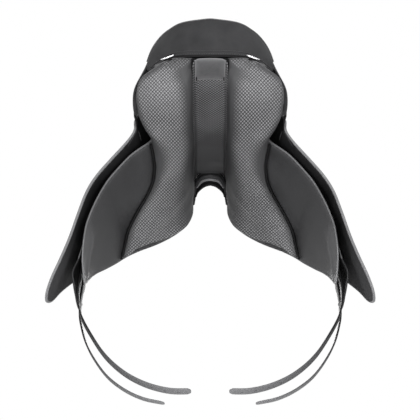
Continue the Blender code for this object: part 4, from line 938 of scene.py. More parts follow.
def woven(name, dark, light, **principled):
    """Webbing: rows of yarn that pass over and under each other."""
    made, tree, shader, where, surface, _ = start_material(name, **principled)
    parts = make_node(tree, "ShaderNodeSeparateXYZ", {0: surface}).outputs
    k = math.pi / YARN_PITCH
    a = maths(tree, "SINE", times(tree, parts[0], k))
    b = maths(tree, "SINE", times(tree, parts[1], k))
    over = ramp(tree, times(tree, a, b), -0.6, 0.6)
    fine = noise(tree, where, 900.0, 2.0)
    share = plus(tree, times(tree, over, 0.7), times(tree, fine, 0.3))
    colour = tint(tree, share, dark, light)
    height = plus(tree, over, times(tree, fine, 0.4))
    finish_material(tree, shader, colour, ramp(tree, fine, 0.3, 0.7, 0.75, 0.92), height, 0.0004, 0.7)
    return made


def metal_material(name, light, dark, rough, stretch=(1.0, 1.0, 1.0)):
    """Polished or brushed metal with faint handling marks."""
    made, tree, shader, where, *_ = start_material(name, Metallic=1.0)
    scaled = make_node(tree, "ShaderNodeMapping", {"Vector": where, "Scale": stretch}).outputs[0]
    marks = noise(tree, scaled, 220.0, 5.0, 0.6)
    slow = noise(tree, where, 35.0, 2.0)
    colour = tint(tree, ramp(tree, slow, 0.35, 0.65), dark, light)
    finish_material(tree, shader, colour, ramp(tree, marks, 0.3, 0.7, *rough), marks, 0.00006, 0.35)
    return made


def moulded(name, dark, light):
    """Moulded polymer with a fine spark-eroded skin."""
    made, tree, shader, where, *_ = start_material(name)
    fine = noise(tree, where, 850.0, 4.0, 0.65)
    slow = noise(tree, where, 18.0, 2.0)
    colour = tint(tree, ramp(tree, slow, 0.35, 0.65), dark, light)
    finish_material(tree, shader, colour, ramp(tree, fine, 0.3, 0.7, 0.42, 0.6), fine, 0.0002, 0.5)
    return made


# Surfaces
SMOOTH = leather("smooth_leather", (0.034, 0.034, 0.0355), (0.052, 0.052, 0.054), Specular_IOR_Level=0.165)
# Sweat flap leather; its rub colour lightens the rims as painted highlight and the pressed dish as painted
# sheen
SWEAT = leather("sweat_flap_leather", (0.021, 0.021, 0.022), (0.036, 0.036, 0.0375), wear_and_light=0.8,
                rub_and_light=(0.09, 0.09, 0.093), Specular_IOR_Level=0.138)
# Lighter trim leather for welts, rims, beads, rolls, keepers, piping and the rear tab: its light colour and
# rub colour are painted highlight and sheen
TRIM = leather("edge_trim", (0.05, 0.05, 0.052), (0.08, 0.08, 0.083), rough=(0.3, 0.42), wear_and_light=0.8,
               rub_and_light=(0.17, 0.17, 0.175), Specular_IOR_Level=0.22)
# Near-black backing: painted shade on the flap's inner face and the guard; its rub colour is painted light
# towards the flap's tip and along the folds
BACKING = leather("flap_backing", (0.004, 0.004, 0.0042), (0.008, 0.008, 0.0084), rough=(0.6, 0.75),
                  wear_and_light=0.9, rub_and_light=(0.042, 0.042, 0.0435), Specular_IOR_Level=0.055)
# Near-black strap leather: painted shade on the straps' upper part; its rub colour lightens the straps
# towards the tips as painted light
STRAP = leather("strap_leather", (0.007, 0.007, 0.0073), (0.013, 0.013, 0.0136), rough=(0.42, 0.54),
                depth=0.00006, wear_and_light=0.9, rub_and_light=(0.17, 0.17, 0.175), Specular_IOR_Level=0.04)
GUSSET = leather("gusset_leather", (0.005, 0.005, 0.0053), (0.01, 0.01, 0.0105), rough=(0.5, 0.65),
                 wear_and_light=0.1, Specular_IOR_Level=0.066)
DOTTED = dotted("dotted_panel_cloth", (0.028, 0.028, 0.029), (0.235, 0.235, 0.242),
                Specular_IOR_Level=0.165)
LINING = dotted("channel_lining_cloth", (0.012, 0.012, 0.0126), (0.2, 0.2, 0.206), Specular_IOR_Level=0.11)
SUEDE = suede_material("brushed_suede", (0.024, 0.024, 0.025), (0.038, 0.038, 0.0395), Sheen_Weight=0.15,
                       Sheen_Roughness=0.45, Specular_IOR_Level=0.055)
THREAD = leather("sewing_thread", (0.05, 0.05, 0.052), (0.085, 0.085, 0.088), rough=(0.55, 0.7),
                 grain=2500.0, wear_and_light=0.0, Specular_IOR_Level=0.11)
WEB = woven("webbing_weave", (0.03, 0.03, 0.03), (0.085, 0.085, 0.085), Specular_IOR_Level=0.11)
STEEL = metal_material("polished_steel", (0.86, 0.86, 0.87), (0.74, 0.74, 0.76), (0.1, 0.2))
PLATE = metal_material("brushed_plate", (0.62, 0.62, 0.63), (0.5, 0.5, 0.52), (0.28, 0.42),
                       (1.0, 0.08, 1.0))
POLYMER = moulded("moulded_polymer", (0.016, 0.016, 0.0175), (0.026, 0.026, 0.028))
SCREW = metal_material("blackened_steel", (0.045, 0.045, 0.047), (0.028, 0.028, 0.03), (0.4, 0.55))
BOARD = moulded("cantle_board_polymer", (0.03, 0.03, 0.032), (0.045, 0.045, 0.047))


def surface_grid(point, firsts, seconds):
    return np.array([[tuple(point(a, b)) for b in seconds] for a in firsts], float)


def tip_rounding(i, last, depth):
    """Share of the width left near the lower tip of a flap, so that it ends in a round."""
    past = max(0.0, (i - (last - depth)) / depth)
    return math.sqrt(max(0.02, 1 - past * past))


def side_grid(surface, rear_edge, front_edge, indices, columns, lift, inset, tip, start=None):
    """Points of a sheet on a side surface; start gives the first row index for each share across."""
    first, last = indices[0], indices[-1]
    P = np.zeros((len(indices), columns, 3))
    for c in range(columns):
        share = c / (columns - 1)
        begin = start(share) if start else first
        for r, index in enumerate(indices):
            i = begin + (last - begin) * (index - first) / (last - first)
            rear, front = edge_value(rear_edge, i) + inset, edge_value(front_edge, i) - inset
            middle, half = (rear + front) / 2, (front - rear) / 2 * tip_rounding(i, last, tip)
            rear, front = middle - half, middle + half
            y = rear + (front - rear) * share
            P[r, c] = lifted(surface, y, i, lift(y, i)) if lift else surface(y, i)
    return P


def spread(first, last, count, gather):
    """Row indices from first to last, closer together towards the last."""
    return [first + (last - first) * (1 - (1 - k / (count - 1)) ** gather) for k in range(count)]


def read_along(at, s, values):
    """Rows of values, such as points, read at a distance along a path."""
    return np.array([np.interp(at, s, column) for column in values.T])


def inset_line(P, N, distance, skip_top):
    """A U-shaped line at a distance inside a grid's first column, last row and last column."""
    left, right = [], []
    down = walk(P[:, P.shape[1] // 2])
    for r in range(P.shape[0]):
        s = walk(P[r])
        if s[-1] < 2.6 * distance or down[r] < skip_top or down[-1] - down[r] < distance:
            continue
        for at, kept in ((distance, left), (s[-1] - distance, right)):
            kept.append((read_along(at, s, P[r]), read_along(at, s, N[r])))
    line = left + right[::-1]
    return np.array([p for p, _ in line]), unit(np.array([n for _, n in line]))


def sew_round(piece, P, N, distances, skip_top, **thread):
    """Rows of stitches at distances inside the edge of a sheet."""
    for distance in distances:
        stitches(piece, *inset_line(P, N, distance, skip_top), slot=2, **thread)


def light_inner_face(piece, values, kept=1.0):
    """Raises the edge value of a sheet's inner face, and with it the painted light, above a share of what it
    has.
    """
    size = len(values)
    lit = piece.edges[0].copy()
    lit[size:2 * size] = np.maximum(lit[size:2 * size] * kept, values)
    piece.edges[0] = lit


# Sweat flap, outer flap and skirt
def in_corner(i):
    """Where the sweat flap's lower rear corner is pressed in: 0 outside, 1 in the middle of its rows."""
    return smooth_step(8.2, 9.4, i) * smooth_step(11.75, 11.0, i)


def rear_roll(y, i):
    """How far the lower rear edge of the sweat flap curls away from the horse."""
    across = y - edge_value(SWEAT_REAR_EDGE, i)
    near = smooth_step(0.03, 0.0, across)
    roll = 0.0015 * near * near * smooth_step(5.0, 7.5, i) * smooth_step(11.7, 10.6, i)
    low = in_corner(i)
    crease = math.exp(-((across - 0.058 * low) / 0.008) ** 2)
    dish = smooth_step(0.062, 0.024, across) * smooth_step(0.0, 0.016, across)
    return roll + low * (0.002 * dish - 0.002 * crease)


def trimmed_rear(i):
    """How far the finished rear edge of the sweat flap lies inside its outline."""
    return 0.012 * smooth_step(2.5, 6.0, i) * smooth_step(10.4, 7.0, i)


def sweat_flap_piece():
    rear = [(i, y + trimmed_rear(i)) for i, y in SWEAT_REAR_EDGE]
    rows = spread(*SWEAT_ROWS, 72, 1.15)
    P = side_grid(side_point, rear, SWEAT_FRONT_EDGE, rows, 44, rear_roll, 0.0012, 0.22)
    N = grid_normals(P, (1, 0, 0))
    piece = Piece()
    top = shell(piece, P, N, SWEAT_THICK, rim_slot=1)
    # Painted sheen: the pressed dish and its crease at the lower rear corner are lightened on the inner face
    pressed = []
    for i, row in zip(rows, P):
        low = in_corner(i)
        for y in row[:, 1]:
            across = y - edge_value(rear, i)
            line = math.exp(-((across - 0.058 * low) / 0.005) ** 2)
            pressed.append(low * (0.6 * smooth_step(0.064, 0.05, across) + 0.4 * line))
    light_inner_face(piece, pressed)
    sew_round(piece, P, -N, (0.0065,), 0.012)
    sew_round(piece, top, N, (0.0065,), 0.012)
    # Rolled rear edge in the lighter trim, half lightened: painted highlight
    bead = smoothed(P[2:-9, 0] + N[2:-9, 0] * SWEAT_THICK / 2, 4)
    stops = [0, 4, len(bead) - 10, len(bead) - 1]
    radius = np.interp(np.arange(len(bead)), stops, [0.0012, 0.0018, 0.0018, 0.0012])
    tube(piece, bead, radius, sides=10, slot=1, edge=0.5)
    return piece


def flap_top(share):
    """Row index where the flap begins, lower in the notch that clears the stirrup bar."""
    i = 0.8
    y = edge_value(FLAP_REAR_EDGE, i) * (1 - share) + edge_value(FLAP_FRONT_EDGE, i) * share
    inside = smooth_step(NOTCH_Y[0] - 0.002, NOTCH_Y[0] + 0.016, y)
    inside *= smooth_step(NOTCH_Y[1] + 0.002, NOTCH_Y[1] - 0.016, y)
    return FLAP_ROWS[0] + (NOTCH_INDEX - FLAP_ROWS[0]) * inside


# Soft folds where the flap bends under the seat: distance along the horse and row of each point
FLAP_FOLDS = [
    [(-0.088, 2.95), (-0.0865, 3.7), (-0.086, 4.5)],
    [(-0.085, 2.85), (-0.0855, 3.5), (-0.0775, 4.1)],
    [(-0.075, 2.55), (-0.06, 2.62), (-0.0475, 2.75)]
]


def flap_piece():
    P = side_grid(flap_point, FLAP_REAR_EDGE, FLAP_FRONT_EDGE, spread(*FLAP_ROWS, 84, 1.3), 56, None,
                  0.0016, 0.3, flap_top)
    N = grid_normals(P, (1, 0, 0))
    piece = Piece()
    # Inner face in the near-black backing, painted shade, lightening towards the tip as painted light
    top = shell(piece, P, N, FLAP_THICK, rim_slot=1, steps=5, under_slot=3)
    light_inner_face(piece, [smooth_step(-0.26, -0.385, z) for z in P[..., 2].ravel()], 0.6)
    middle = (P + top) / 2
    bead = np.concatenate([middle[4:, 0], middle[-1, 1:-1], middle[:30:-1, -1]])
    bead = smoothed(resample(bead, 190), 3)
    radius = np.interp(np.arange(190), [0, 20, 150, 189], [0.0018, 0.0027, 0.0024, 0.0018])
    tube(piece, bead, radius, sides=12, slot=1)
    # The bead lightens below the top of the flap: painted highlight along its rolled edge
    piece.edges[-1] = np.array([0.9 * smooth_step(-0.042, -0.062, z) for z in piece.points[-1][:, 2]])
    # Fold ridges in the backing, fully lightened: painted highlight along each fold
    for fold in FLAP_FOLDS:
        path = [lifted(flap_point, *spline(fold, t), -0.0003) for t in steps_to(len(fold) - 1, 17)]
        thick = 0.001 * np.sin(np.linspace(0.25, math.pi - 0.25, 17))
        tube(piece, to_array(path), thick, sides=8, slot=3, edge=1.0)
    sew_round(piece, top, N, (0.006, 0.0105), 0.02)
    return piece


def skirt_piece():
    P = side_grid(flap_point, SKIRT_REAR_EDGE, SKIRT_FRONT_EDGE, spread(*SKIRT_ROWS, 44, 1.2), 48,
                  skirt_lift, 0.0012, 0.55)
    N = grid_normals(P, (1, 0, 0))
    piece = Piece()
    top = shell(piece, P, N, SKIRT_THICK, rim_slot=1)
    sew_round(piece, top, N, (0.0055, 0.0095), 0.012)
    return piece


for base, build, body, main in (("sweat_flap", sweat_flap_piece, "saddle", SWEAT),
                                ("flap", flap_piece, "flap_{}", SMOOTH),
                                ("skirt", skirt_piece, "skirt_{}", SMOOTH)):
    build().make_both(f"{base}_cover", [main, TRIM, THREAD, BACKING], body, base, "smooth_synthetic")


# Panels, stuffed between the gusset, the channel seam and the lower seam
TOP_COUNT, WALL_COUNT, LOWER_COUNT = 7, 10, 26
SEAM = TOP_COUNT + WALL_COUNT - 1
INNER = SEAM + LOWER_COUNT


def panel_outline(t):
    """A section of the panel at station t: along its top, down its outer wall and back under."""
    y, seam_z = panel_seam(t)
    top = [spline([s[1][k] for s in PANEL_STATIONS], t) for k in range(4)]
    bearing = [spline([s[3][k] for s in PANEL_STATIONS], t) for k in range(3)]
    inner = spline([s[4] for s in PANEL_STATIONS], t)
    wall = []
    for k in range(25):
        share = k / 24
        p = spline([spline(w, share * 2) for w in PANEL_REAR_WALL], min(t, 5.0))
        if t > 5.0:
            end = side_index(y, seam_z)
            i = PANEL_TOP_INDEX + (end - PANEL_TOP_INDEX) * share
            q = side_point(y, i) - outward(side_point, y, i) * (PANEL_GAP + 0.001 * past_turn(y))
            p = p.lerp(Vector((q.x, q.z)), min(1.0, t - 5.0))
        wall.append(p)
    face = [wall[-1]] + bearing + [inner]
    split = int(round(24 * (0.42 + 0.58 * smooth_step(4.0, 5.6, t))))
    upper = [spline(top, 3 * k / TOP_COUNT) for k in range(TOP_COUNT)]
    outer = resample(wall[:split + 1], WALL_COUNT)
    under = resample(wall[split:-1] + [spline(face, k) for k in steps_to(4, 61)], LOWER_COUNT + 1)[1:]
    outline = [tuple(p) for p in upper] + outer.tolist() + under.tolist() + [tuple(inner.lerp(top[0], 0.5))]
    raised = 0.0085 * smooth_step(0.55, 0.0, t)
    shaped = []
    for x, z in outline:
        x -= 0.003 * smooth_step(0.046, 0.038, x) * smooth_step(17.0, 14.0, t)
        z += raised * smooth_step(-0.004, 0.009, z) * smooth_step(0.1, 0.07, x)
        shaped.append((x, y, z))
    shaped = np.array(shaped)
    crown = 0.0015 + 0.0065 * smooth_step(0.0, 1.6, t) * smooth_step(11.0, 8.5, t)
    face = shaped[SEAM:INNER + 1]
    along = unit(np.gradient(face, axis=0))
    out = np.stack([-along[:, 2], np.zeros(len(face)), along[:, 0]], axis=1)
    out *= 1.0 if out[:, 2].sum() < 0 else -1.0
    share = walk(face) / walk(face)[-1]
    shaped[SEAM:INNER + 1] += out * (crown * (1 - np.abs(2 * share - 1) ** 2.6))[:, None]
    return shaped


def panel_stations():
    """Stations close enough together for the stuffing to bulge evenly."""
    found = [0.0]
    for k in range(PANEL_LAST):
        length = abs(PANEL_STATIONS[k + 1][0] - PANEL_STATIONS[k][0])
        parts = max(2, int(math.ceil(length / 0.0062)))
        found += [k + (j + 1) / parts for j in range(parts)]
    return found


def laid_flat(P):
    """Cloth coordinates of points on a panel: the dotted cloth lies square across its sloping face."""
    return np.stack([P[..., 0], -0.55 * P[..., 1] + 0.84 * P[..., 2]], axis=-1)


def panel_piece():
    ts = panel_stations()
    body = np.array([panel_outline(t) for t in ts])
    size = body.shape[1]
    coords = laid_flat(body)
    across = np.cumsum(np.linalg.norm(np.diff(body[:, SEAM:INNER + 1], axis=1), axis=2), axis=1)
    across = np.concatenate([np.zeros((len(ts), 1)), across], axis=1)
    # Edge values on the bearing face: 1 in a plain band along the outer seam, up to 2 in a band beside the
    # channel; the cloth loses its dots and darkens there, painted shade
    plain = [0.009 + 0.016 * smooth_step(2.0, 4.2, t) * smooth_step(8.2, 6.2, t) for t in ts]
    plain = np.array(plain)[:, None]
    margin = np.clip(1.6 - across / plain, 0.0, 1.0)
    left = across[:, -1:] - across
    fading = np.array([0.04 + 0.034 * smooth_step(6.0, 9.5, t) for t in ts])[:, None]
    margin = np.maximum(margin, np.clip(2.0 - 1.6 * left / fading, 0.0, 2.0))
    edges = np.ones(body.shape[:2])
    edges[:, SEAM:INNER + 1] = margin
    piece = Piece()
    before = loft(piece, list(body), 0, list(coords), domes=((0.007, 3), (0.003, 2)))[0]
    main = slice(before * size, (before + len(ts)) * size)
    points = piece.points[0]
    held = np.ones(len(points))
    grid_held = np.ones(body.shape[:2])
    for k in range(len(ts)):
        ends = min(1.0, k / 3.0, (len(ts) - 1 - k) / 4.0)
        for c in range(SEAM + 1, INNER):
            grid_held[k, c] = 1.0 - ends * min(1.0, min(c - SEAM, INNER - c) / 2.0)
    held[main] = grid_held.ravel()
    puffed = swollen(points, piece.faces, held, pressure=5.0, cap=0.006, stiffness=10.0)
    piece.points[0] = puffed
    edge = np.ones(len(points))
    edge[:before * size] = 0.45
    edge[main] = edges.ravel()
    piece.edges[0] = edge
    piece.coords[0] = laid_flat(puffed)
    slots = []
    for f in piece.faces:
        columns = [v % size for v in f]
        on_face = len(f) == 4 and SEAM <= min(columns) and max(columns) <= INNER
        slots.append(0 if on_face or min(f) < before * size else 1)
    piece.slots = slots
    return piece, puffed[main].reshape(len(ts), size, 3), ts


panel, panel_body, panel_ts = panel_piece()
lobe_end = next(k for k, t in enumerate(panel_ts) if t > LOBE_END)


def panel_trim():
    """Piping round the rear lobe and the stitched seam beside the channel."""
    piece = Piece()
    start = panel_body[0]
    centre = start.mean(axis=0)
    rear = [start[c] + unit(start[c] - centre) * 0.0002 + [0, -0.0015, 0]
            for c in (0, 1, 2, 3, 4, 5, 6, 9, 12, 15)]
    side = [panel_body[k, SEAM] + unit(panel_body[k, SEAM] - panel_body[k].mean(axis=0)) * 0.0002
            for k in range(1, lobe_end)]
    cord = smoothed(resample(np.array(rear + side), 130), 3)
    thick = np.interp(np.arange(130), [0, 6, 110, 129], [0.0011, 0.0014, 0.0014, 0.0009])
    # Piping in the lighter trim: painted highlight along the lobe's edge
    tube(piece, cord, thick, sides=8, slot=0)
    path = panel_body[2:-6, INNER - 1]
    down = unit(np.cross(np.gradient(path, axis=0), panel_body[2:-6, INNER - 2] - path))
    down = np.where(down[:, 2:3] > 0, -down, down)
    stitches(piece, path, down, slot=1)
    return piece


trim = panel_trim()
for side, word in SIDES:
    pad = panel.make(f"panel_pad_{word}", [DOTTED, GUSSET], "saddle", side, [f"panel_{word}"],
                     "textured_synthetic", degrees=70.0, levels=1)
    trim.make(f"panel_seams_{word}", [TRIM, THREAD], "saddle", side)


def piping_piece():
    line = []
    for along_seam in steps_to(PIPING_LENGTH, 161):
        t = PIPING_START + along_seam
        here, i = seam_point(t)
        along = seam_point(t + 0.05)[0] - seam_point(t - 0.05)[0]
        normal = outward(side_point, here.y, i)
        away = normal.cross(along).normalized()
        if away.y + away.z > 0:
            away = -away
        line.append(here + away * (PIPING_RADIUS + 0.0012) - normal * (PIPING_RADIUS + 0.0008))
    piece = Piece()
    tube(piece, smoothed(to_array(line), 4), PIPING_RADIUS * 1.08, sides=12)
    return piece


piping_piece().make_both("panel_edge_roll", [GUSSET], "saddle", "panel_piping", "smooth_synthetic")


# Seat: a stuffed cover with a sewn centre, flanks and a rolled cantle; its seams run along and across
SEAT_SEAM = 0.6
SEAT_CROSS_SEAM = 2.35
SEAT_ROWS_FINE, SEAT_COLUMNS = 66, 61


def seat_piece():
    rows = steps_to(12, SEAT_ROWS_FINE)
    shares = shares_across(SEAT_COLUMNS)
    P = surface_grid(seat_point, rows, shares)
    N = grid_normals(P, (0, 0, -1))
    thick = np.zeros(P.shape[:2])
    for k, r in enumerate(rows):
        for c, u in enumerate(shares):
            near_rim = min(1.0, 0.35 + 0.44 * r)
            near_side = 1.0 - 0.7 * smooth_step(0.62, 1.0, abs(u))
            thick[k, c] = SEAT_THICK * min(near_rim, near_side)
    piece = Piece()
    shell(piece, P, N, thick, steps=4)
    count = SEAT_ROWS_FINE * SEAT_COLUMNS
    points = piece.points[0]
    held = np.ones(len(points))
    for k, r in enumerate(rows):
        for c, u in enumerate(shares):
            from_seam = min(1.0, abs(abs(u) - SEAT_SEAM) / 0.1)
            from_rim = min(1.0, k / 3, (SEAT_ROWS_FINE - 1 - k) / 3, c / 3, (SEAT_COLUMNS - 1 - c) / 3)
            across = min(1.0, abs(r - SEAT_CROSS_SEAM) / 0.3) if abs(u) < SEAT_SEAM else 1.0
            held[count + k * SEAT_COLUMNS + c] = 1.0 - from_rim * min(from_seam, across)
    piece.points[0] = swollen(points, piece.faces, held, pressure=3.0, cap=0.005, stiffness=12.0)
    upper = piece.points[0][count:2 * count].reshape(P.shape)
    M = grid_normals(upper, (0, 0, 1))
    for c in (0.5 - SEAT_SEAM / 2, 0.5 + SEAT_SEAM / 2):
        for off in (-0.45, 0.45):
            at = c * (SEAT_COLUMNS - 1) + off
            low = int(at)
            f = at - low
            path = upper[10:-3, low] * (1 - f) + upper[10:-3, low + 1] * f
            n = M[10:-3, low] * (1 - f) + M[10:-3, low + 1] * f
            stitches(piece, path, n, slot=1)
    quads = (SEAT_ROWS_FINE - 1) * (SEAT_COLUMNS - 1)
    for k in range(quads, 2 * quads):
        face = piece.faces[k]
        if (abs(shares[face[0] % SEAT_COLUMNS]) + abs(shares[face[2] % SEAT_COLUMNS])) / 2 > SEAT_SEAM:
            piece.slots[k] = 2
    return piece


seat = seat_piece().make("seat_cover", [SUEDE, THREAD, SMOOTH], "saddle", 1, ["seat"], "synthetic_suede",
                         degrees=60.0, levels=1)


CANTLE_COVER_FOOT = [
    (0.0, -0.2285, 0.0195), (0.05, -0.2265, 0.0205), (0.078, -0.2165, 0.0228), (0.1, -0.2015, 0.0205),
    (0.114, -0.1885, 0.0185), (0.1215, -0.179, 0.02)
]


def cantle_piece():
    """Back of the cantle: a suede cover from the rim down to a rolled seam above the panels."""
    shares = [-0.955 + 1.91 * c / 96 for c in range(97)]
    P = np.zeros((30, 97, 3))
    thick = np.zeros((30, 97))
    for c, u in enumerate(shares):
        foot = spline(CANTLE_COVER_FOOT, min(1.0, abs(u) / 0.94) * 5)
        foot.x = math.copysign(foot.x, u)
        top = seat_lowered(0, u, 0.0008) + Vector((0.0, -0.0034, 0.0))
        for r in range(30):
            p = top.lerp(foot, r / 29)
            p.y -= 0.0034 * math.sin(math.pi * r / 29) ** 0.7
            P[r, c] = p
            thick[r, c] = 0.0012 + 0.0028 * min(1.0, r / 6)
    N = grid_normals(P, (0, 1, 0))
    piece = Piece()
    shell(piece, P, N, thick)
    foot = P[29, 1:-1] + [0, -0.0002, -0.0008]
    tube(piece, smoothed(foot, 2), 0.0015, sides=10, slot=1)
    ridge = P[26, 6:-6] + [0, -0.0003, 0]
    tube(piece, smoothed(ridge, 2), 0.0012, sides=8, slot=0)
    stitches(piece, P[28, 2:-2], -N[28, 2:-2], slot=2)
    return piece


cantle_piece().make("cantle_back_cover", [SUEDE, GUSSET, THREAD], "saddle", 1, ["cantle_back"],
                    "synthetic_suede")


def welt_piece():
    rim = []
    for k in range(121):
        u = -0.925 + 1.85 * k / 120
        edge = seat_lowered(0, u, 0.0004)
        away = Vector((0.0, -0.0036, 0.0))
        away += (edge - Vector((0.0, edge.y, seat_point(0, 0).z - 0.06))).normalized() * 0.0006
        rim.append(edge + away)
    piece = Piece()
    tube(piece, smoothed(to_array(rim), 3), 0.0012, sides=10)
    return piece


welt_piece().make("cantle_rim_welt", [TRIM], "saddle", 1, ["cantle_welt"], "smooth_synthetic")


# Pommel facing with its piping
FACING_LINES = [
    [(0.0, 0.229, 0.042), (0.015, 0.228, 0.04), (0.028, 0.225, 0.033), (0.038, 0.2195, 0.022),
     (0.046, 0.213, 0.01), (0.0515, 0.208, 0.001)],
    [(0.0, 0.23, 0.03), (0.013, 0.2295, 0.0276), (0.024, 0.228, 0.0215), (0.033, 0.225, 0.01),
     (0.0365, 0.222, -0.002), (0.0345, 0.219, -0.007)],
    [(0.0, 0.224, 0.0225), (0.011, 0.2236, 0.0186), (0.02, 0.2228, 0.0115), (0.028, 0.221, 0.001),
     (0.031, 0.219, -0.007), (0.0325, 0.217, -0.014)],
    [(0.0, 0.205, 0.0245), (0.011, 0.205, 0.0225), (0.021, 0.205, 0.017), (0.0285, 0.205, 0.006),
     (0.0315, 0.205, -0.004), (0.0325, 0.205, -0.012)],
    [(0.0, 0.176, 0.027), (0.011, 0.176, 0.025), (0.021, 0.176, 0.019), (0.0285, 0.176, 0.008),
     (0.0315, 0.176, -0.004), (0.0325, 0.176, -0.012)]
]


# Rolls of the facing: line it lies on, share of the half width it reaches, radius and slot
# The roll in slot 3 is the lighter trim, fully lightened: painted highlight on the middle roll
FACING_ROLLS = [(3.52, 0.86, 0.0042, 2), (3.06, 0.7, 0.0033, 3), (2.42, 0.92, 0.003, 0)]
FACING_EDGE = [
    (0.033, 0.216, 0.004), (0.0345, 0.2185, -0.008), (0.0355, 0.2205, -0.018), (0.0372, 0.2235, -0.029)
]


def facing_spot(line, u):
    column = [spline(points, abs(u) * 5) for points in FACING_LINES]
    p = spline(column, line)
    return Vector((math.copysign(p.x, u), p.y, p.z))


def facing_piece():
    P = surface_grid(facing_spot, steps_to(4, 27), shares_across(65))
    N = grid_normals(P, (0, 0, 1))
    piece = Piece()
    shell(piece, P, N, 0.002)
    stitches(piece, P[10, 2:-2], -N[10, 2:-2], slot=1)
    for line, reach, radius, slot in FACING_ROLLS:
        path = []
        for k in range(73):
            u = (-1 + k / 36) * reach
            p = facing_spot(line, u)
            away = Vector((p.x, 0.0, p.z + 0.03)).normalized()
            path.append(p - away * radius * 0.35)
        thick = radius * np.sqrt(np.clip(1 - np.linspace(-1, 1, 73) ** 6, 0.04, 1))
        tube(piece, smoothed(to_array(path), 2), thick, sides=14, slot=slot, edge=1.0 if slot == 3 else 0.0)
    for side in (-1, 1):
        path = [spline(FACING_EDGE, t) for t in steps_to(3, 25)]
        tube(piece, to_array(path) * [side, 1, 1], 0.0031, sides=12, slot=2)
    return piece


facing_piece().make("pommel_facing_cover", [GUSSET, THREAD, SWEAT, TRIM], "saddle", 1, ["pommel_facing"],
                    "smooth_synthetic")


def arch_piping():
    line = []
    for u in shares_across(97):
        p = spline(FACING_LINES[2], abs(u) * 5)
        away = Vector((abs(p.x), 0.0, p.z + 0.03)).normalized() * 0.0006
        q = p + Vector((0.0, -0.0012, 0.0)) - away
        line.append((math.copysign(q.x, u), q.y, q.z))
    piece = Piece()
    tube(piece, smoothed(np.array(line), 3), 0.0019, sides=10)
    return piece


arch_piping().make("pommel_arch_piping", [GUSSET], "saddle", 1, ["pommel_piping"],
                   "smooth_synthetic")


# Channel lining and the bare tab over its rear end
LINING_SECTION = [
    (0.0, 0.0), (0.012, 0.0003), (0.021, 0.001), (0.0285, 0.0036), (0.0318, 0.01), (0.0326, 0.019)
]
TAB_SECTION = [(0.0, 0.0), (0.01, 0.0002), (0.019, 0.0007), (0.0255, 0.0022), (0.03, 0.006)]
# Rows of the tab: Y and how far it lifts off the lining
TAB_ROWS = [(-0.17, 0.0), (-0.182, 0.0), (-0.195, 0.0), (-0.208, 0.0), (-0.2185, 0.0), (-0.2245, 0.0002)]
LINING_HEIGHTS = [
    (-0.222, 0.0165), (-0.18, 0.011), (-0.12, 0.005), (-0.06, 0.0015), (0.0, 0.0), (0.06, 0.001),
    (0.11, 0.0065), (0.15, 0.015), (0.172, 0.021)
]


def arch_spot(section, y, height, u):
    p = spline(section, abs(u) * (len(section) - 1))
    return Vector((math.copysign(p.x, u), y, height - p.y))


def lining_height(y):
    return edge_value(LINING_HEIGHTS, y)


def lining_piece():
    ys = [-0.2212 + 0.3975 * k / 66 for k in range(67)]
    P = surface_grid(lambda y, u: arch_spot(LINING_SECTION, y, lining_height(y), u), ys,
                     shares_across(41))
    N = grid_normals(P, (0, 0, 1))
    piece = Piece()
    shell(piece, P, N, LINING_THICK)
    # Edge value rising towards the front: the dots fade out and the cloth darkens under the pommel, painted
    # shade
    fade = np.interp(np.concatenate([q[:, 1] for q in piece.points]), [-0.16, 0.03, 0.16], [0.0, 0.85, 1.7])
    piece.edges[0] = fade
    for c in (4, -5):
        stitches(piece, P[12:-6, c], -N[12:-6, c], slot=1)
    return piece


lining_piece().make("channel_lining_cover", [LINING, THREAD], "saddle", 1, ["channel_lining"],
                    "textured_synthetic")


def recess_piece():
    """Dark sheet, painted shade, that closes the hollow between the lining's front end and the facing."""
    def spot(k, u):
        height = lining_height(0.172) + 0.0012 + 0.0042 * k
        return arch_spot(LINING_SECTION, 0.1735 + 0.0045 * k, height, u)
    P = surface_grid(spot, range(7), shares_across(25))
    piece = Piece()
    shell(piece, P, grid_normals(P, (0, 0, 1)), 0.0012)
    return piece


recess_piece().make("pommel_recess", [GUSSET], "saddle", 1)


def tab_piece():
    def spot(t, u):
        y, lift = spline(TAB_ROWS, t)
        return arch_spot(TAB_SECTION, y, lining_height(max(y, -0.222)) - 0.0011 + lift, u)
    P = surface_grid(spot, steps_to(5, 35), shares_across(35))
    N = grid_normals(P, (0, 0, -1))
    piece = Piece()
    top = shell(piece, P, N, 0.002, rim_slot=1)
    stitches(piece, top[2, 2:-2], N[2, 2:-2], slot=2, pitch=0.0036, length=0.0027)
    # Dark cords along the tab's sides at its front end: painted shadow at its corners
    for c in (1, -2):
        tube(piece, top[1:7, c] + N[1:7, c] * 0.0006, 0.0011, sides=8, slot=3)
    return piece


# The tab is made in the lighter trim: painted sheen
tab_piece().make("rear_tab_cover", [TRIM, TRIM, THREAD, GUSSET], "saddle", 1, ["rear_tab"],
                 "smooth_synthetic")


# Knee pads: row index, rear and front Y and height at each station, then the section over them
KNEE_STATIONS = [
    (1.2, 0.186, 0.208, 0.018), (1.7, 0.172, 0.22, 0.044), (2.4, 0.162, 0.23, 0.06),
    (3.2, 0.157, 0.235, 0.065), (4.0, 0.157, 0.236, 0.06), (4.8, 0.162, 0.23, 0.044),
    (5.4, 0.172, 0.217, 0.02)
]
KNEE_SECTION = [
    (1.0, 0.0), (0.5, 0.0), (0.0, 0.0), (-0.03, 0.35), (0.0, 0.75), (0.14, 0.97), (0.34, 1.0), (0.56, 0.86),
    (0.78, 0.6), (0.93, 0.3), (1.0, 0.0)
]


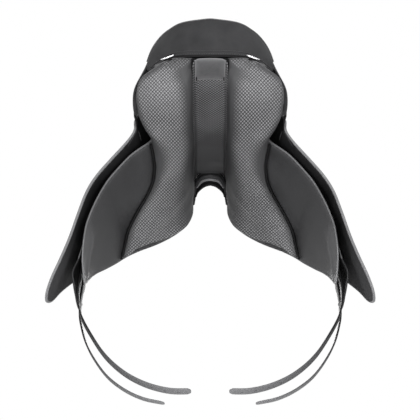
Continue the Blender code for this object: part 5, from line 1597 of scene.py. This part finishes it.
def knee_piece():
    base = FLAP_THICK + 0.0012
    count, size = 40, 44
    loops, coords = [], []
    for k in range(count):
        i, rear, front, height = spline(KNEE_STATIONS, 6 * k / (count - 1))
        loop = []
        for c in range(size):
            q = spline(KNEE_SECTION, 10 * c / size)
            y = rear + (front - rear) * q.x
            loop.append(lifted(flap_point, y, i, base + height * max(0.0, q.y)))
        loops.append(to_array(loop))
        coords.append(np.stack([walk(loops[-1]), np.full(size, 0.006 * k)], axis=1))
    piece = Piece()
    before = loft(piece, loops, 0, coords, domes=((0.004, 2), (0.004, 2)))[0]
    points = piece.points[0]
    held = np.ones(len(points))
    for k in range(count):
        for c in range(size):
            share = 10 * c / size
            free = smooth_step(2.4, 3.4, share) * smooth_step(10.0, 9.0, share)
            held[(before + k) * size + c] = 1 - free * min(1.0, k / 3, (count - 1 - k) / 3)
    piece.points[0] = swollen(points, piece.faces, held, pressure=3.0, cap=0.004)
    body = piece.points[0][before * size:(before + count) * size].reshape(count, size, 3)
    c = int(round(4.6 * size / 10))
    ridge = body[2:-2, c]
    away = unit(ridge - body[2:-2].mean(axis=1))
    tube(piece, smoothed(ridge + away * 0.0004, 3), 0.0018, sides=8, slot=1)
    for off in (-1, 1):
        path = body[2:-2, c + 2 * off]
        stitches(piece, path, unit(path - body[2:-2].mean(axis=1)), slot=2)
    return piece


knee = knee_piece()
for side, word in SIDES:
    pad = knee.make(f"knee_pad_cover_{word}", [SUEDE, SMOOTH, THREAD], f"flap_{word}", side,
                    [f"knee_pad_{word}"], "synthetic_suede", degrees=70.0, levels=1)


# Girth straps, buckle guards and keepers
def strap_line(y, free, twist):
    centre_lift = STRAP_OFFSET + STRAP_THICK / 2
    upper = [lifted(side_point, y, i, centre_lift) for i in (0.95, 2.0, 3.0, 4.0, 5.0, 6.0, 7.0)]
    points = upper + [Vector((x, y, z)) for x, z in STRAP_STRAIGHT] + [Vector((x, y, z)) for x, z in free]
    last = len(points) - 1
    centres, wides = [], []
    for t in steps_to(last, 6 * last + 1):
        here = points[7].lerp(points[9], (t - 7.0) / 2) if 7.0 <= t <= 9.0 else spline(points, t)
        centres.append(tuple(here))
        if t < 6.0:
            wide = side_point(y + 0.01, 0.95 + t) - side_point(y - 0.01, 0.95 + t)
        else:
            wide = Vector((0.0, 1.0, 0.0))
        angle = twist * max(0.0, (t - 9.0) / (last - 9.0))
        along = (spline(points, min(t + 0.1, last)) - spline(points, max(t - 0.1, 0.0))).normalized()
        wides.append(tuple(Matrix.Rotation(angle, 3, along) @ wide.normalized()))
    return resample(np.array(centres), 150, np.array(wides))


# Painted light and shade along a strap: 0, dark as painted shade, for most of its length, rising to 1 at the
# tip
def lit_towards_tip(share):
    return np.clip((share - 0.66) / 0.34, 0, 1)


def strap_piece(y, free, twist):
    centres, wides = strap_line(y, free, twist)
    along = walk(centres)
    left = along[-1] - along
    half = np.full(len(centres), STRAP_WIDTH / 2)
    taper = np.clip(1 - left / 0.007, 0, 1)
    half = half * np.sqrt(1 - 0.75 * taper ** 2)
    loops, marks = bar_loops(centres, wides, half, np.full(len(centres), STRAP_THICK / 2), 0.42)
    piece = Piece()
    size = len(loops[0])
    coords = [np.stack([np.linspace(0, 0.054, size), np.full(size, s)], axis=1) for s in along]
    loft(piece, loops, 0, coords, domes=((0.0015, 1), (0.0012, 2)))
    piece.edges[0] = lit_towards_tip(piece.coords[0][:, 1] / along[-1])
    T, W, M = [np.array(way) for way in zip(*marks)]
    holes = []
    for k in range(HOLE_COUNT):
        at = along[-1] - HOLE_END_DISTANCE - HOLE_PITCH * k
        holes.append((read_along(at, along, centres), unit(read_along(at, along, T)),
                      unit(read_along(at, along, M))))
    lines = []
    for side in (-1, 1):
        path = centres[4:40] + W[4:40] * side * (half[4:40, None] - 0.003) + M[4:40] * STRAP_THICK / 2
        lines.append((path, M[4:40]))
    return piece, holes, lines, centres, along


def axes_at(centre, x, y, z):
    """Placement of a piece made about the origin."""
    return Matrix.Translation(Vector(centre)) @ Matrix((x, y, z)).transposed().to_4x4()


def drilled(obj, holes, radius, depth):
    """Cuts round holes through a piece with an exact Boolean."""
    bm = bmesh.new()
    for centre, along, normal in holes:
        z, x = Vector(normal), Vector(along)
        y = z.cross(x).normalized()
        bmesh.ops.create_cone(bm, cap_ends=True, segments=20, radius1=radius, radius2=radius,
                              depth=depth, matrix=axes_at(centre, y.cross(z), y, z))
    mesh = bpy.data.meshes.new("drill")
    bm.to_mesh(mesh)
    bm.free()
    tool = linked("drill", mesh)
    cut = obj.modifiers.new("holes", "BOOLEAN")
    cut.operation, cut.solver, cut.object = "DIFFERENCE", "EXACT", tool
    applied(obj)
    bpy.data.objects.remove(tool)


for y, where, free, twist in ((STRAP_FRONT_Y, "front", STRAP_FREE_FRONT, FRONT_STRAP_TWIST),
                              (STRAP_REAR_Y, "rear", STRAP_FREE, REAR_STRAP_TWIST)):
    strap, holes, lines, centres, along = strap_piece(y, free, twist)
    sewn = Piece()
    for path, n in lines:
        stitches(sewn, path, n)
    name = f"girth_strap_{where}"
    for side, word in SIDES:
        mesh = strap.mesh(f"{name}_cover_{word}", side)
        mesh.materials.append(STRAP)
        obj = linked(mesh.name, mesh)
        flip = np.array([side, 1, 1])
        drilled(obj, [(c * flip, t * flip, n * flip) for c, t, n in holes], HOLE_RADIUS, DRILL_LENGTH)
        spots = np.array([tuple(v.co) for v in obj.data.vertices]) * flip
        nearest = np.argmin(((spots[:, None] - centres[None]) ** 2).sum(axis=2), axis=1)
        obj.data.attributes["edge"].data.foreach_set("value", lit_towards_tip(along[nearest] / along[-1]))
        obj.data.shade_smooth()
        obj.data.set_sharp_from_angle(angle=math.radians(50))
        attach(obj, f"{where}_strap_{word}")
        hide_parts(f"{name}_{word}")
        sewn.make(f"{name}_stitching_{word}", [THREAD], f"{where}_strap_{word}", side)


# Guard: distance down the straps and outward of each row, and its share of the half width
GUARD_HALF_WIDTH = 0.0515
GUARD_DARK_BELOW = -0.322
GUARD_PROFILE = [
    (0.026, 0.0), (0.046, 0.0), (0.062, 0.0008), (0.076, 0.004), (0.088, 0.0066), (0.1, 0.0058),
    (0.112, 0.0016), (0.124, -0.0022)
]
GUARD_SHARES = [0.8, 0.96, 1.0, 1.0, 1.0, 0.95, 0.74, 0.3]


def guard_frame():
    top = Vector((STRAP_STRAIGHT[0][0], 0.0, STRAP_STRAIGHT[0][1]))
    foot = Vector((STRAP_STRAIGHT[2][0], 0.0, STRAP_STRAIGHT[2][1]))
    along = (foot - top).normalized()
    return top, along, Vector((-along.z, 0.0, along.x))


def guard_piece():
    top, along, normal = guard_frame()
    outer = STRAP_THICK / 2 + KEEPER_CLEARANCE + KEEPER_WALL + 0.0005
    middle_y = (STRAP_FRONT_Y + STRAP_REAR_Y) / 2

    def spot(t, s):
        down, out = spline(GUARD_PROFILE, t)
        share = spline_value(GUARD_SHARES, t)
        if s > 0:
            share = 0.92 * math.sqrt(max(0.05, 1 - max(0.0, (t - 6.3) / 0.7) ** 2 * 0.75))
        cupped = 0.009 * smooth_step(0.7, 1.04, s) * smooth_step(0.3, 3.6, t) * smooth_step(7.0, 5.4, t)
        bowed = 0.0012 * (1 - s * s) * smooth_step(2, 4, t)
        p = top + along * down + normal * (outer + out - cupped + bowed)
        return p + Vector((0.0, middle_y + s * GUARD_HALF_WIDTH * share, 0.0))
    P = surface_grid(spot, steps_to(7, 39), shares_across(35))
    N = grid_normals(P, (1, 0, 0))
    piece = Piece()
    lifted_face = shell(piece, P, N, GUARD_THICK, rim_slot=1, under_slot=3)
    # Rim faces on the front half and low down take the near-black backing: painted shade
    for k, face in enumerate(piece.faces):
        centre = piece.points[0][face].mean(axis=0)
        if piece.slots[k] == 1 and (centre[1] > middle_y - 0.005 or centre[2] < GUARD_DARK_BELOW):
            piece.slots[k] = 3
    sew_round(piece, lifted_face, N, (0.0045,), 0.003, pitch=0.004, length=0.003)
    return piece


# Guard in near-black gusset with a backing underside: painted shade on the guard
guard_piece().make_both("buckle_guard_cover", [GUSSET, TRIM, SWEAT, BACKING], "guard_{}", "buckle_guard",
                        "smooth_synthetic")


def keeper_piece():
    """Two soft leather loops side by side, one round each strap."""
    top, along, normal = guard_frame()
    centre = top + along * KEEPER_DOWN
    piece = Piece()
    inner_wide, inner_thick = STRAP_WIDTH + 2 * KEEPER_CLEARANCE, STRAP_THICK + 2 * KEEPER_CLEARANCE
    r = 0.0016
    for y in (STRAP_FRONT_Y, STRAP_REAR_Y):
        loops = []
        for a, grow in ((-0.5, 0.0), (-0.5, 0.7), (-0.44, 1.0), (0.44, 1.0), (0.5, 0.7), (0.5, 0.0)):
            wall = KEEPER_WALL * (0.02 + 0.98 * grow)
            hw, ht = inner_wide / 2 + wall, inner_thick / 2 + wall
            ring = []
            for sx, sy, start in ((1, 1, 0), (-1, 1, 90), (-1, -1, 180), (1, -1, 270)):
                for k in range(5):
                    b = math.radians(start + 22.5 * k)
                    ring.append(centre + along * (a * KEEPER_LENGTH)
                                + Vector((0, 1, 0)) * (sx * (hw - r) + r * math.cos(b))
                                + normal * (sy * (ht - r) + r * math.sin(b)))
            loops.append(to_array([p + Vector((0.0, y - centre.y, 0.0)) for p in ring]))
        loops.append(loops[0])
        points = np.concatenate(loops[:-1])
        size, rings = len(loops[0]), len(loops) - 1
        faces = grid_faces(rings, size, True)
        faces += [[(rings - 1) * size + c, (rings - 1) * size + (c + 1) % size, (c + 1) % size, c]
                  for c in range(size)]
        # Keepers in the lighter trim, partly lightened: painted highlight
        piece.add(points, faces, 0, None, 0.4)
    return piece


keeper_piece().make_both("guard_keeper_loops", [TRIM], "guard_{}", "guard_keeper", "smooth_synthetic")


# Webs over the tree
def web_point(y, k):
    step = abs(k)
    if step <= 4:
        p = tree_lowered(y, 0.94 * step / 4, -0.0013)
    else:
        path = [tree_lowered(y, 0.94, -0.0013), lifted(side_point, y, 0.35, WEB_OFFSET + 0.0015),
                lifted(side_point, y, 0.95, WEB_OFFSET), lifted(side_point, y, 1.5, WEB_OFFSET),
                lifted(side_point, y, 2.0, WEB_OFFSET)]
        whole = int(step - 4)
        f = step - 4 - whole
        p = path[whole] if f == 0 else path[whole].lerp(path[whole + 1], f)
    return Vector((math.copysign(p.x, k), p.y, p.z))


for y, where in ((STRAP_FRONT_Y, "front"), (STRAP_REAR_Y, "rear")):
    P = surface_grid(lambda k, a: web_point(y + a * WEB_WIDTH, k), [-8 + k / 4 for k in range(65)],
                     [-0.49 + 0.98 * c / 10 for c in range(11)])
    piece = Piece()
    shell(piece, P, grid_normals(P, (0, 0, 1)), WEB_THICK)
    piece.make(f"girth_web_{where}_weave", [WEB], "saddle", 1, [f"girth_web_{where}"], "webbing")


# Welts along the seat's edge
def seat_welt_piece():
    line = to_array([hinge_point(-0.04 + along) + Vector((-0.0045, 0.0, 0.0052))
                     for along in steps_to(0.228, 61)])
    piece = Piece()
    tube(piece, line, WELT_RADIUS, sides=14)
    top = line + [WELT_RADIUS * 0.55, 0, WELT_RADIUS * 0.82]
    stitches(piece, top[1:-1], np.tile([0.55, 0, 0.83], (59, 1)), slot=1)
    return piece


seat_welt_piece().make_both("seat_welt_roll", [TRIM, THREAD], "saddle", "seat_welt", "smooth_synthetic")


# Stirrup bars, catches, rivets and screws
def bar_frame():
    """Where a stirrup bar is riveted: a point of the tree and directions along, out of and down it."""
    origin = tree_point(BAR_Y, BAR_SHARE)
    down = (tree_point(BAR_Y, 0.99) - tree_point(BAR_Y, 0.8)).normalized()
    along = (tree_point(0.135, BAR_SHARE) - tree_point(0.08, BAR_SHARE)).normalized()
    out = down.cross(along).normalized()
    return origin, along, (out if out.x > 0 else -out), down


# Forging: distance along the tree and aside of it, half width and half thickness at each point
BAR_PATH = [
    (-0.034, 0.0, 0.008, 0.0015), (-0.01, 0.0, 0.0082, 0.0015), (0.016, 0.0, 0.0078, 0.0016),
    (0.03, 0.002, 0.0065, 0.0024), (0.0365, 0.0075, 0.005, 0.0032), (0.0365, 0.014, 0.0045, 0.0034),
    (0.03, 0.0185, 0.0042, 0.0032), (0.016, 0.02, 0.004, 0.003), (-0.018, 0.02, 0.004, 0.003)
]
BAR_OUT = 0.003
# Lever: distance from its pivot and half width at each point
LEVER_PATH = [
    (0.0022, 0.0014), (0.0012, 0.0022), (0.0, 0.0026), (-0.003, 0.0034), (-0.0065, 0.004),
    (-0.0095, 0.0036), (-0.0115, 0.0028)
]
# Radius and height of the turned heads
PIN_HEAD = [(0.0, 0.0), (0.0013, 0.0), (0.0012, 0.0005), (0.0006, 0.0008), (0.0, 0.0009)]
RIVET_HEAD = [
    (0.0, 0.0), (0.0034, 0.0), (0.0034, 0.0003), (0.003, 0.0009), (0.0021, 0.0014), (0.0011, 0.00165),
    (0.0, 0.0017)
]
SCREW_HEAD = [(0.0, 0.0), (0.004, 0.0), (0.004, 0.0006), (0.0034, 0.0014), (0.0024, 0.0019), (0.0, 0.002)]

origin, along, out, down = bar_frame()
aside = Vector((0.97, 0.1, -0.24)).normalized()
path, half_wide, half_thick = [], [], []
for k in range(8 * (len(BAR_PATH) - 1) + 1):
    by, turn, wide, thick = spline(BAR_PATH, k / 8)
    path.append(origin + along * by + out * BAR_OUT + aside * turn)
    half_wide.append(wide)
    half_thick.append(thick)
bar = Piece()
loops, _ = bar_loops(to_array(path), np.tile(tuple(down), (len(path), 1)), half_wide, half_thick, 0.4)
loft(bar, loops, domes=((0.0012, 2), (0.0, 0)))
bar.make_both("stirrup_bar_forging", [STEEL], "saddle", "stirrup_bar", "stainless_steel")
end = origin + along * BAR_PATH[-1][0] + out * BAR_OUT + aside * BAR_PATH[-1][1]
pivot = end - along * 0.0035
catch = Piece()
count = len(LEVER_PATH)
loops, _ = bar_loops(to_array([pivot + along * a for a, _ in LEVER_PATH]), np.tile(tuple(down), (count, 1)),
                     [w for _, w in LEVER_PATH], [0.0025] * count, 0.45)
loft(catch, loops, domes=((0.0006, 1), (0.0012, 2)))
for way in (-1, 1):
    turned(catch, np.array(tuple(pivot)) + unit(tuple(aside)) * 0.0024 * way, np.array(tuple(aside)) * way,
           PIN_HEAD, 14)
catch.make_both("bar_catch_lever", [STEEL], "catch_{}", "bar_catch", "stainless_steel")
for step, where in ((-0.024, "rear"), (0.008, "front")):
    rivet = Piece()
    head = origin + along * step + out * (BAR_OUT + 0.0016 + 0.0003)
    turned(rivet, tuple(head), tuple(out), RIVET_HEAD, 24)
    rivet.make_both(f"bar_rivet_{where}_head", [STEEL], "saddle", f"bar_rivet_{where}", "stainless_steel")
for share, where in ((0.3, "upper"), (0.58, "lower")):
    below = tree_lowered(SCREW_Y, share, TREE_THICK + 0.0024 + 0.003 + 0.0012)
    axis = (below - tree_point(SCREW_Y, share)).normalized()
    screw = Piece()
    turned(screw, tuple(below), tuple(axis), SCREW_HEAD, 24)
    for angle in (0.4, 0.4 + math.pi / 2):
        side_way = unit(np.cross(tuple(axis), [math.cos(angle), math.sin(angle), 0.0]))
        centre = np.array(tuple(below + axis * 0.00185))
        loops, _ = bar_loops(np.array([centre - side_way * 0.0019, centre, centre + side_way * 0.0019]),
                             np.tile(tuple(axis), (3, 1)), [0.00022] * 3, [0.0004] * 3, 0.3)
        loft(screw, loops, slot=1)
    screw.make_both(f"gullet_screw_{where}_head", [SCREW, POLYMER], "saddle", f"gullet_screw_{where}",
                    "stainless_steel")


# Rings on their folded chapes
def ring_line(width, depth):
    """D outline in its own plane: a straight bar along X and an arc below it, with rounded corners."""
    points = [(-width / 2 + 0.001 + (width - 0.002) * k / 30, 0.0) for k in range(31)]
    for k in range(37):
        angle = math.pi * k / 36
        points.append((math.cos(angle) * width / 2, -0.0012 - math.sin(angle) * (depth - 0.0012)))
    points = np.array(points + [points[0]])
    points = resample(points, 121)[:-1]
    for _ in range(6):
        points = (np.roll(points, 1, axis=0) + 2 * points + np.roll(points, -1, axis=0)) / 4
    return points


# Place, direction of the straight side, way it hangs, way the chape leads, depth and length of the chape
DEES = [
    ("front", (0.0465, 0.24, 0.0105), (0.97, -0.24, -0.05), (0.0, 0.0, -1.0), -1, DEE_DEPTH, 0.012),
    ("rear", (0.082, -0.2262, 0.0165), (0.95, 0.22, -0.24), REAR_DEE_LEAN, 1, 0.017, 0.0105)
]

for where, centre, along_x, hang, tail, depth, reach in DEES:
    x, hang = Vector(along_x).normalized(), Vector(hang)
    z = (Vector((0.0, 0.0, 1.0)) - x * x.z).normalized()
    y = z.cross(x) * tail
    place = axes_at(centre, x, y, z)
    up = (x * hang.dot(x) - hang).normalized()
    swung = axes_at(centre, x, up.cross(x), up)
    ring = Piece()
    path = to_array([swung @ Vector((a, 0.0, b)) for a, b in ring_line(DEE_WIDTH, depth)])
    tube(ring, path, RING_RADIUS, sides=14, closed=True)
    ring.make_both(f"dee_{where}_ring", [STEEL], f"dee_{where}_{{}}", f"dee_{where}", "stainless_steel")
    loop = WIRE_RADIUS + 0.0004
    profile = [(reach - reach * k / 8, loop) for k in range(8)]
    for k in range(15):
        angle = math.pi / 2 + math.pi * k / 14
        profile.append((loop * math.cos(angle), loop * math.sin(angle)))
    profile += [(reach * (k + 1) / 8, -loop) for k in range(8)]
    P = surface_grid(lambda spot, w: place @ Vector((w, *spot)), profile, np.linspace(-0.0058, 0.0058, 9))
    N = grid_normals(P, tuple(-y))
    chape = Piece()
    top = shell(chape, P, N, 0.0012, rim_slot=0)
    for row in (3, -4):
        stitches(chape, top[row, 1:-1], N[row, 1:-1], slot=1, pitch=0.0024, length=0.0017, radius=0.00035)
    chape.make_both(f"chape_{where}_fold", [GUSSET, THREAD], "saddle", f"chape_{where}", "smooth_synthetic")


# Soft roll that closes the corner between the seat's flank and the flap
FLANK_LINE = [
    (0.1508, -0.103, -0.006), (0.1504, -0.104, -0.02), (0.1496, -0.104, -0.034), (0.147, -0.102, -0.05)
]
flank = Piece()
tube(flank, to_array([spline(FLANK_LINE, t) for t in steps_to(3, 25)]),
     np.interp(np.arange(25), [0, 8, 16, 24], [0.0014, 0.003, 0.003, 0.0014]), sides=12)
flank.make_both("flank_roll", [GUSSET])


# Solids that are right as they are, with finished surfaces
for name, material in (("tree", POLYMER), ("gullet_plate", PLATE), ("cantle_board", BOARD)):
    node = NODES[name]
    node.data.materials.clear()
    node.data.materials.append(material)


# Floor, light and camera
def seen_directly(tree):
    """1 for camera, glossy and transmission rays, 0 for the light itself."""
    rays = make_node(tree, "ShaderNodeLightPath").outputs
    mirrored = maths(tree, "MAXIMUM", rays["Is Glossy Ray"], rays["Is Transmission Ray"])
    return maths(tree, "MAXIMUM", rays["Is Camera Ray"], mirrored)


WHITE = (1.0, 1.0, 1.0, 1.0)
FLOOR_REACH = 9
FLOOR_LEVEL = -2.1
FLOOR_COLOUR = (0.86, 0.86, 0.86, 1.0)
FLOOR_ROUGHNESS = 0.9
FLOOR_GLOW = 0.6
WORLD_FILL = 0.06

floor_mesh = bpy.data.meshes.new("floor")
corners = [
    (-FLOOR_REACH, -FLOOR_REACH, 0), (FLOOR_REACH, -FLOOR_REACH, 0), (FLOOR_REACH, FLOOR_REACH, 0),
    (-FLOOR_REACH, FLOOR_REACH, 0)
]
floor_mesh.from_pydata(corners, [], [[0, 1, 2, 3]])
pale = bpy.data.materials.new("pale_floor")
pale.use_nodes = True
shader = pale.node_tree.nodes["Principled BSDF"]
shader.inputs["Base Color"].default_value = FLOOR_COLOUR
shader.inputs["Roughness"].default_value = FLOOR_ROUGHNESS
shader.inputs["Emission Color"].default_value = WHITE
glow = times(pale.node_tree, seen_directly(pale.node_tree), FLOOR_GLOW)
pale.node_tree.links.new(glow, shader.inputs["Emission Strength"])
floor_mesh.materials.append(pale)
floor = linked("floor", floor_mesh)
floor.location = (0, 0, FLOOR_LEVEL)

world = bpy.data.worlds.new("studio")
world.use_nodes = True
bpy.context.scene.world = world
tree = world.node_tree
tree.nodes.clear()
level = ramp(tree, seen_directly(tree), 0.0, 1.0, WORLD_FILL, 1.0)
background = make_node(tree, "ShaderNodeBackground", {"Color": WHITE, "Strength": level})
make_node(tree, "ShaderNodeOutputWorld", {"Surface": background.outputs[0]})

# Lamps: place, height on the middle line they face, diameter and power
LAMPS = [
    ("side_left", (-2.4, -1.4, -0.3), -0.15, 1.1, 34.0),
    ("below_left", (-1.9, -0.2, -1.7), -0.15, 1.2, 14.0),
    ("side_right", (2.4, -1.4, -0.3), -0.15, 1.1, 34.0),
    ("below_right", (1.9, -0.2, -1.7), -0.15, 1.2, 14.0),
    ("low", (0.0, -2.3, -2.0), -0.15, 1.4, 72.0),
    ("below", (0.0, -0.2, -2.0), -0.15, 1.2, 12.0),
    ("rear", (0.0, -2.6, 0.9), -0.1, 1.4, 42.0),
    ("top", (0.3, -0.6, 2.2), 0, 1.6, 34.0),
    ("front", (0.0, 2.2, 1.4), -0.1, 1.4, 26.0)
]


def point_at(obj, where, direction):
    """Places a lamp or camera so that it faces a direction."""
    obj.location = where
    obj.rotation_mode = "QUATERNION"
    obj.rotation_quaternion = direction.to_track_quat("-Z", "Y")


for name, where, height, size, power in LAMPS:
    lamp = bpy.data.lights.new(name, "AREA")
    lamp.shape = "DISK"
    lamp.size, lamp.energy = size, power
    point_at(linked(name, lamp), where, Vector((0, 0, height)) - Vector(where))

PHOTO_AIM = Vector((0.0, 0.0, -0.19))
PHOTO_PITCH = math.radians(33.0)
PHOTO_DISTANCE = 2.6
PHOTO_SIZE = 420
PHOTO_FOCAL = 1300
PHOTO_SHIFT = -0.2
SENSOR = 36.0
sight = Vector((0.0, math.cos(PHOTO_PITCH), math.sin(PHOTO_PITCH)))
camera_data = bpy.data.cameras.new("camera")
camera_data.sensor_width = SENSOR
camera_data.lens = SENSOR * PHOTO_FOCAL / PHOTO_SIZE
camera_data.shift_x = PHOTO_SHIFT / PHOTO_SIZE
camera = linked("camera", camera_data)
point_at(camera, PHOTO_AIM - sight * PHOTO_DISTANCE, sight)
bpy.context.scene.camera = camera
bpy.context.scene.view_settings.view_transform = "Standard"
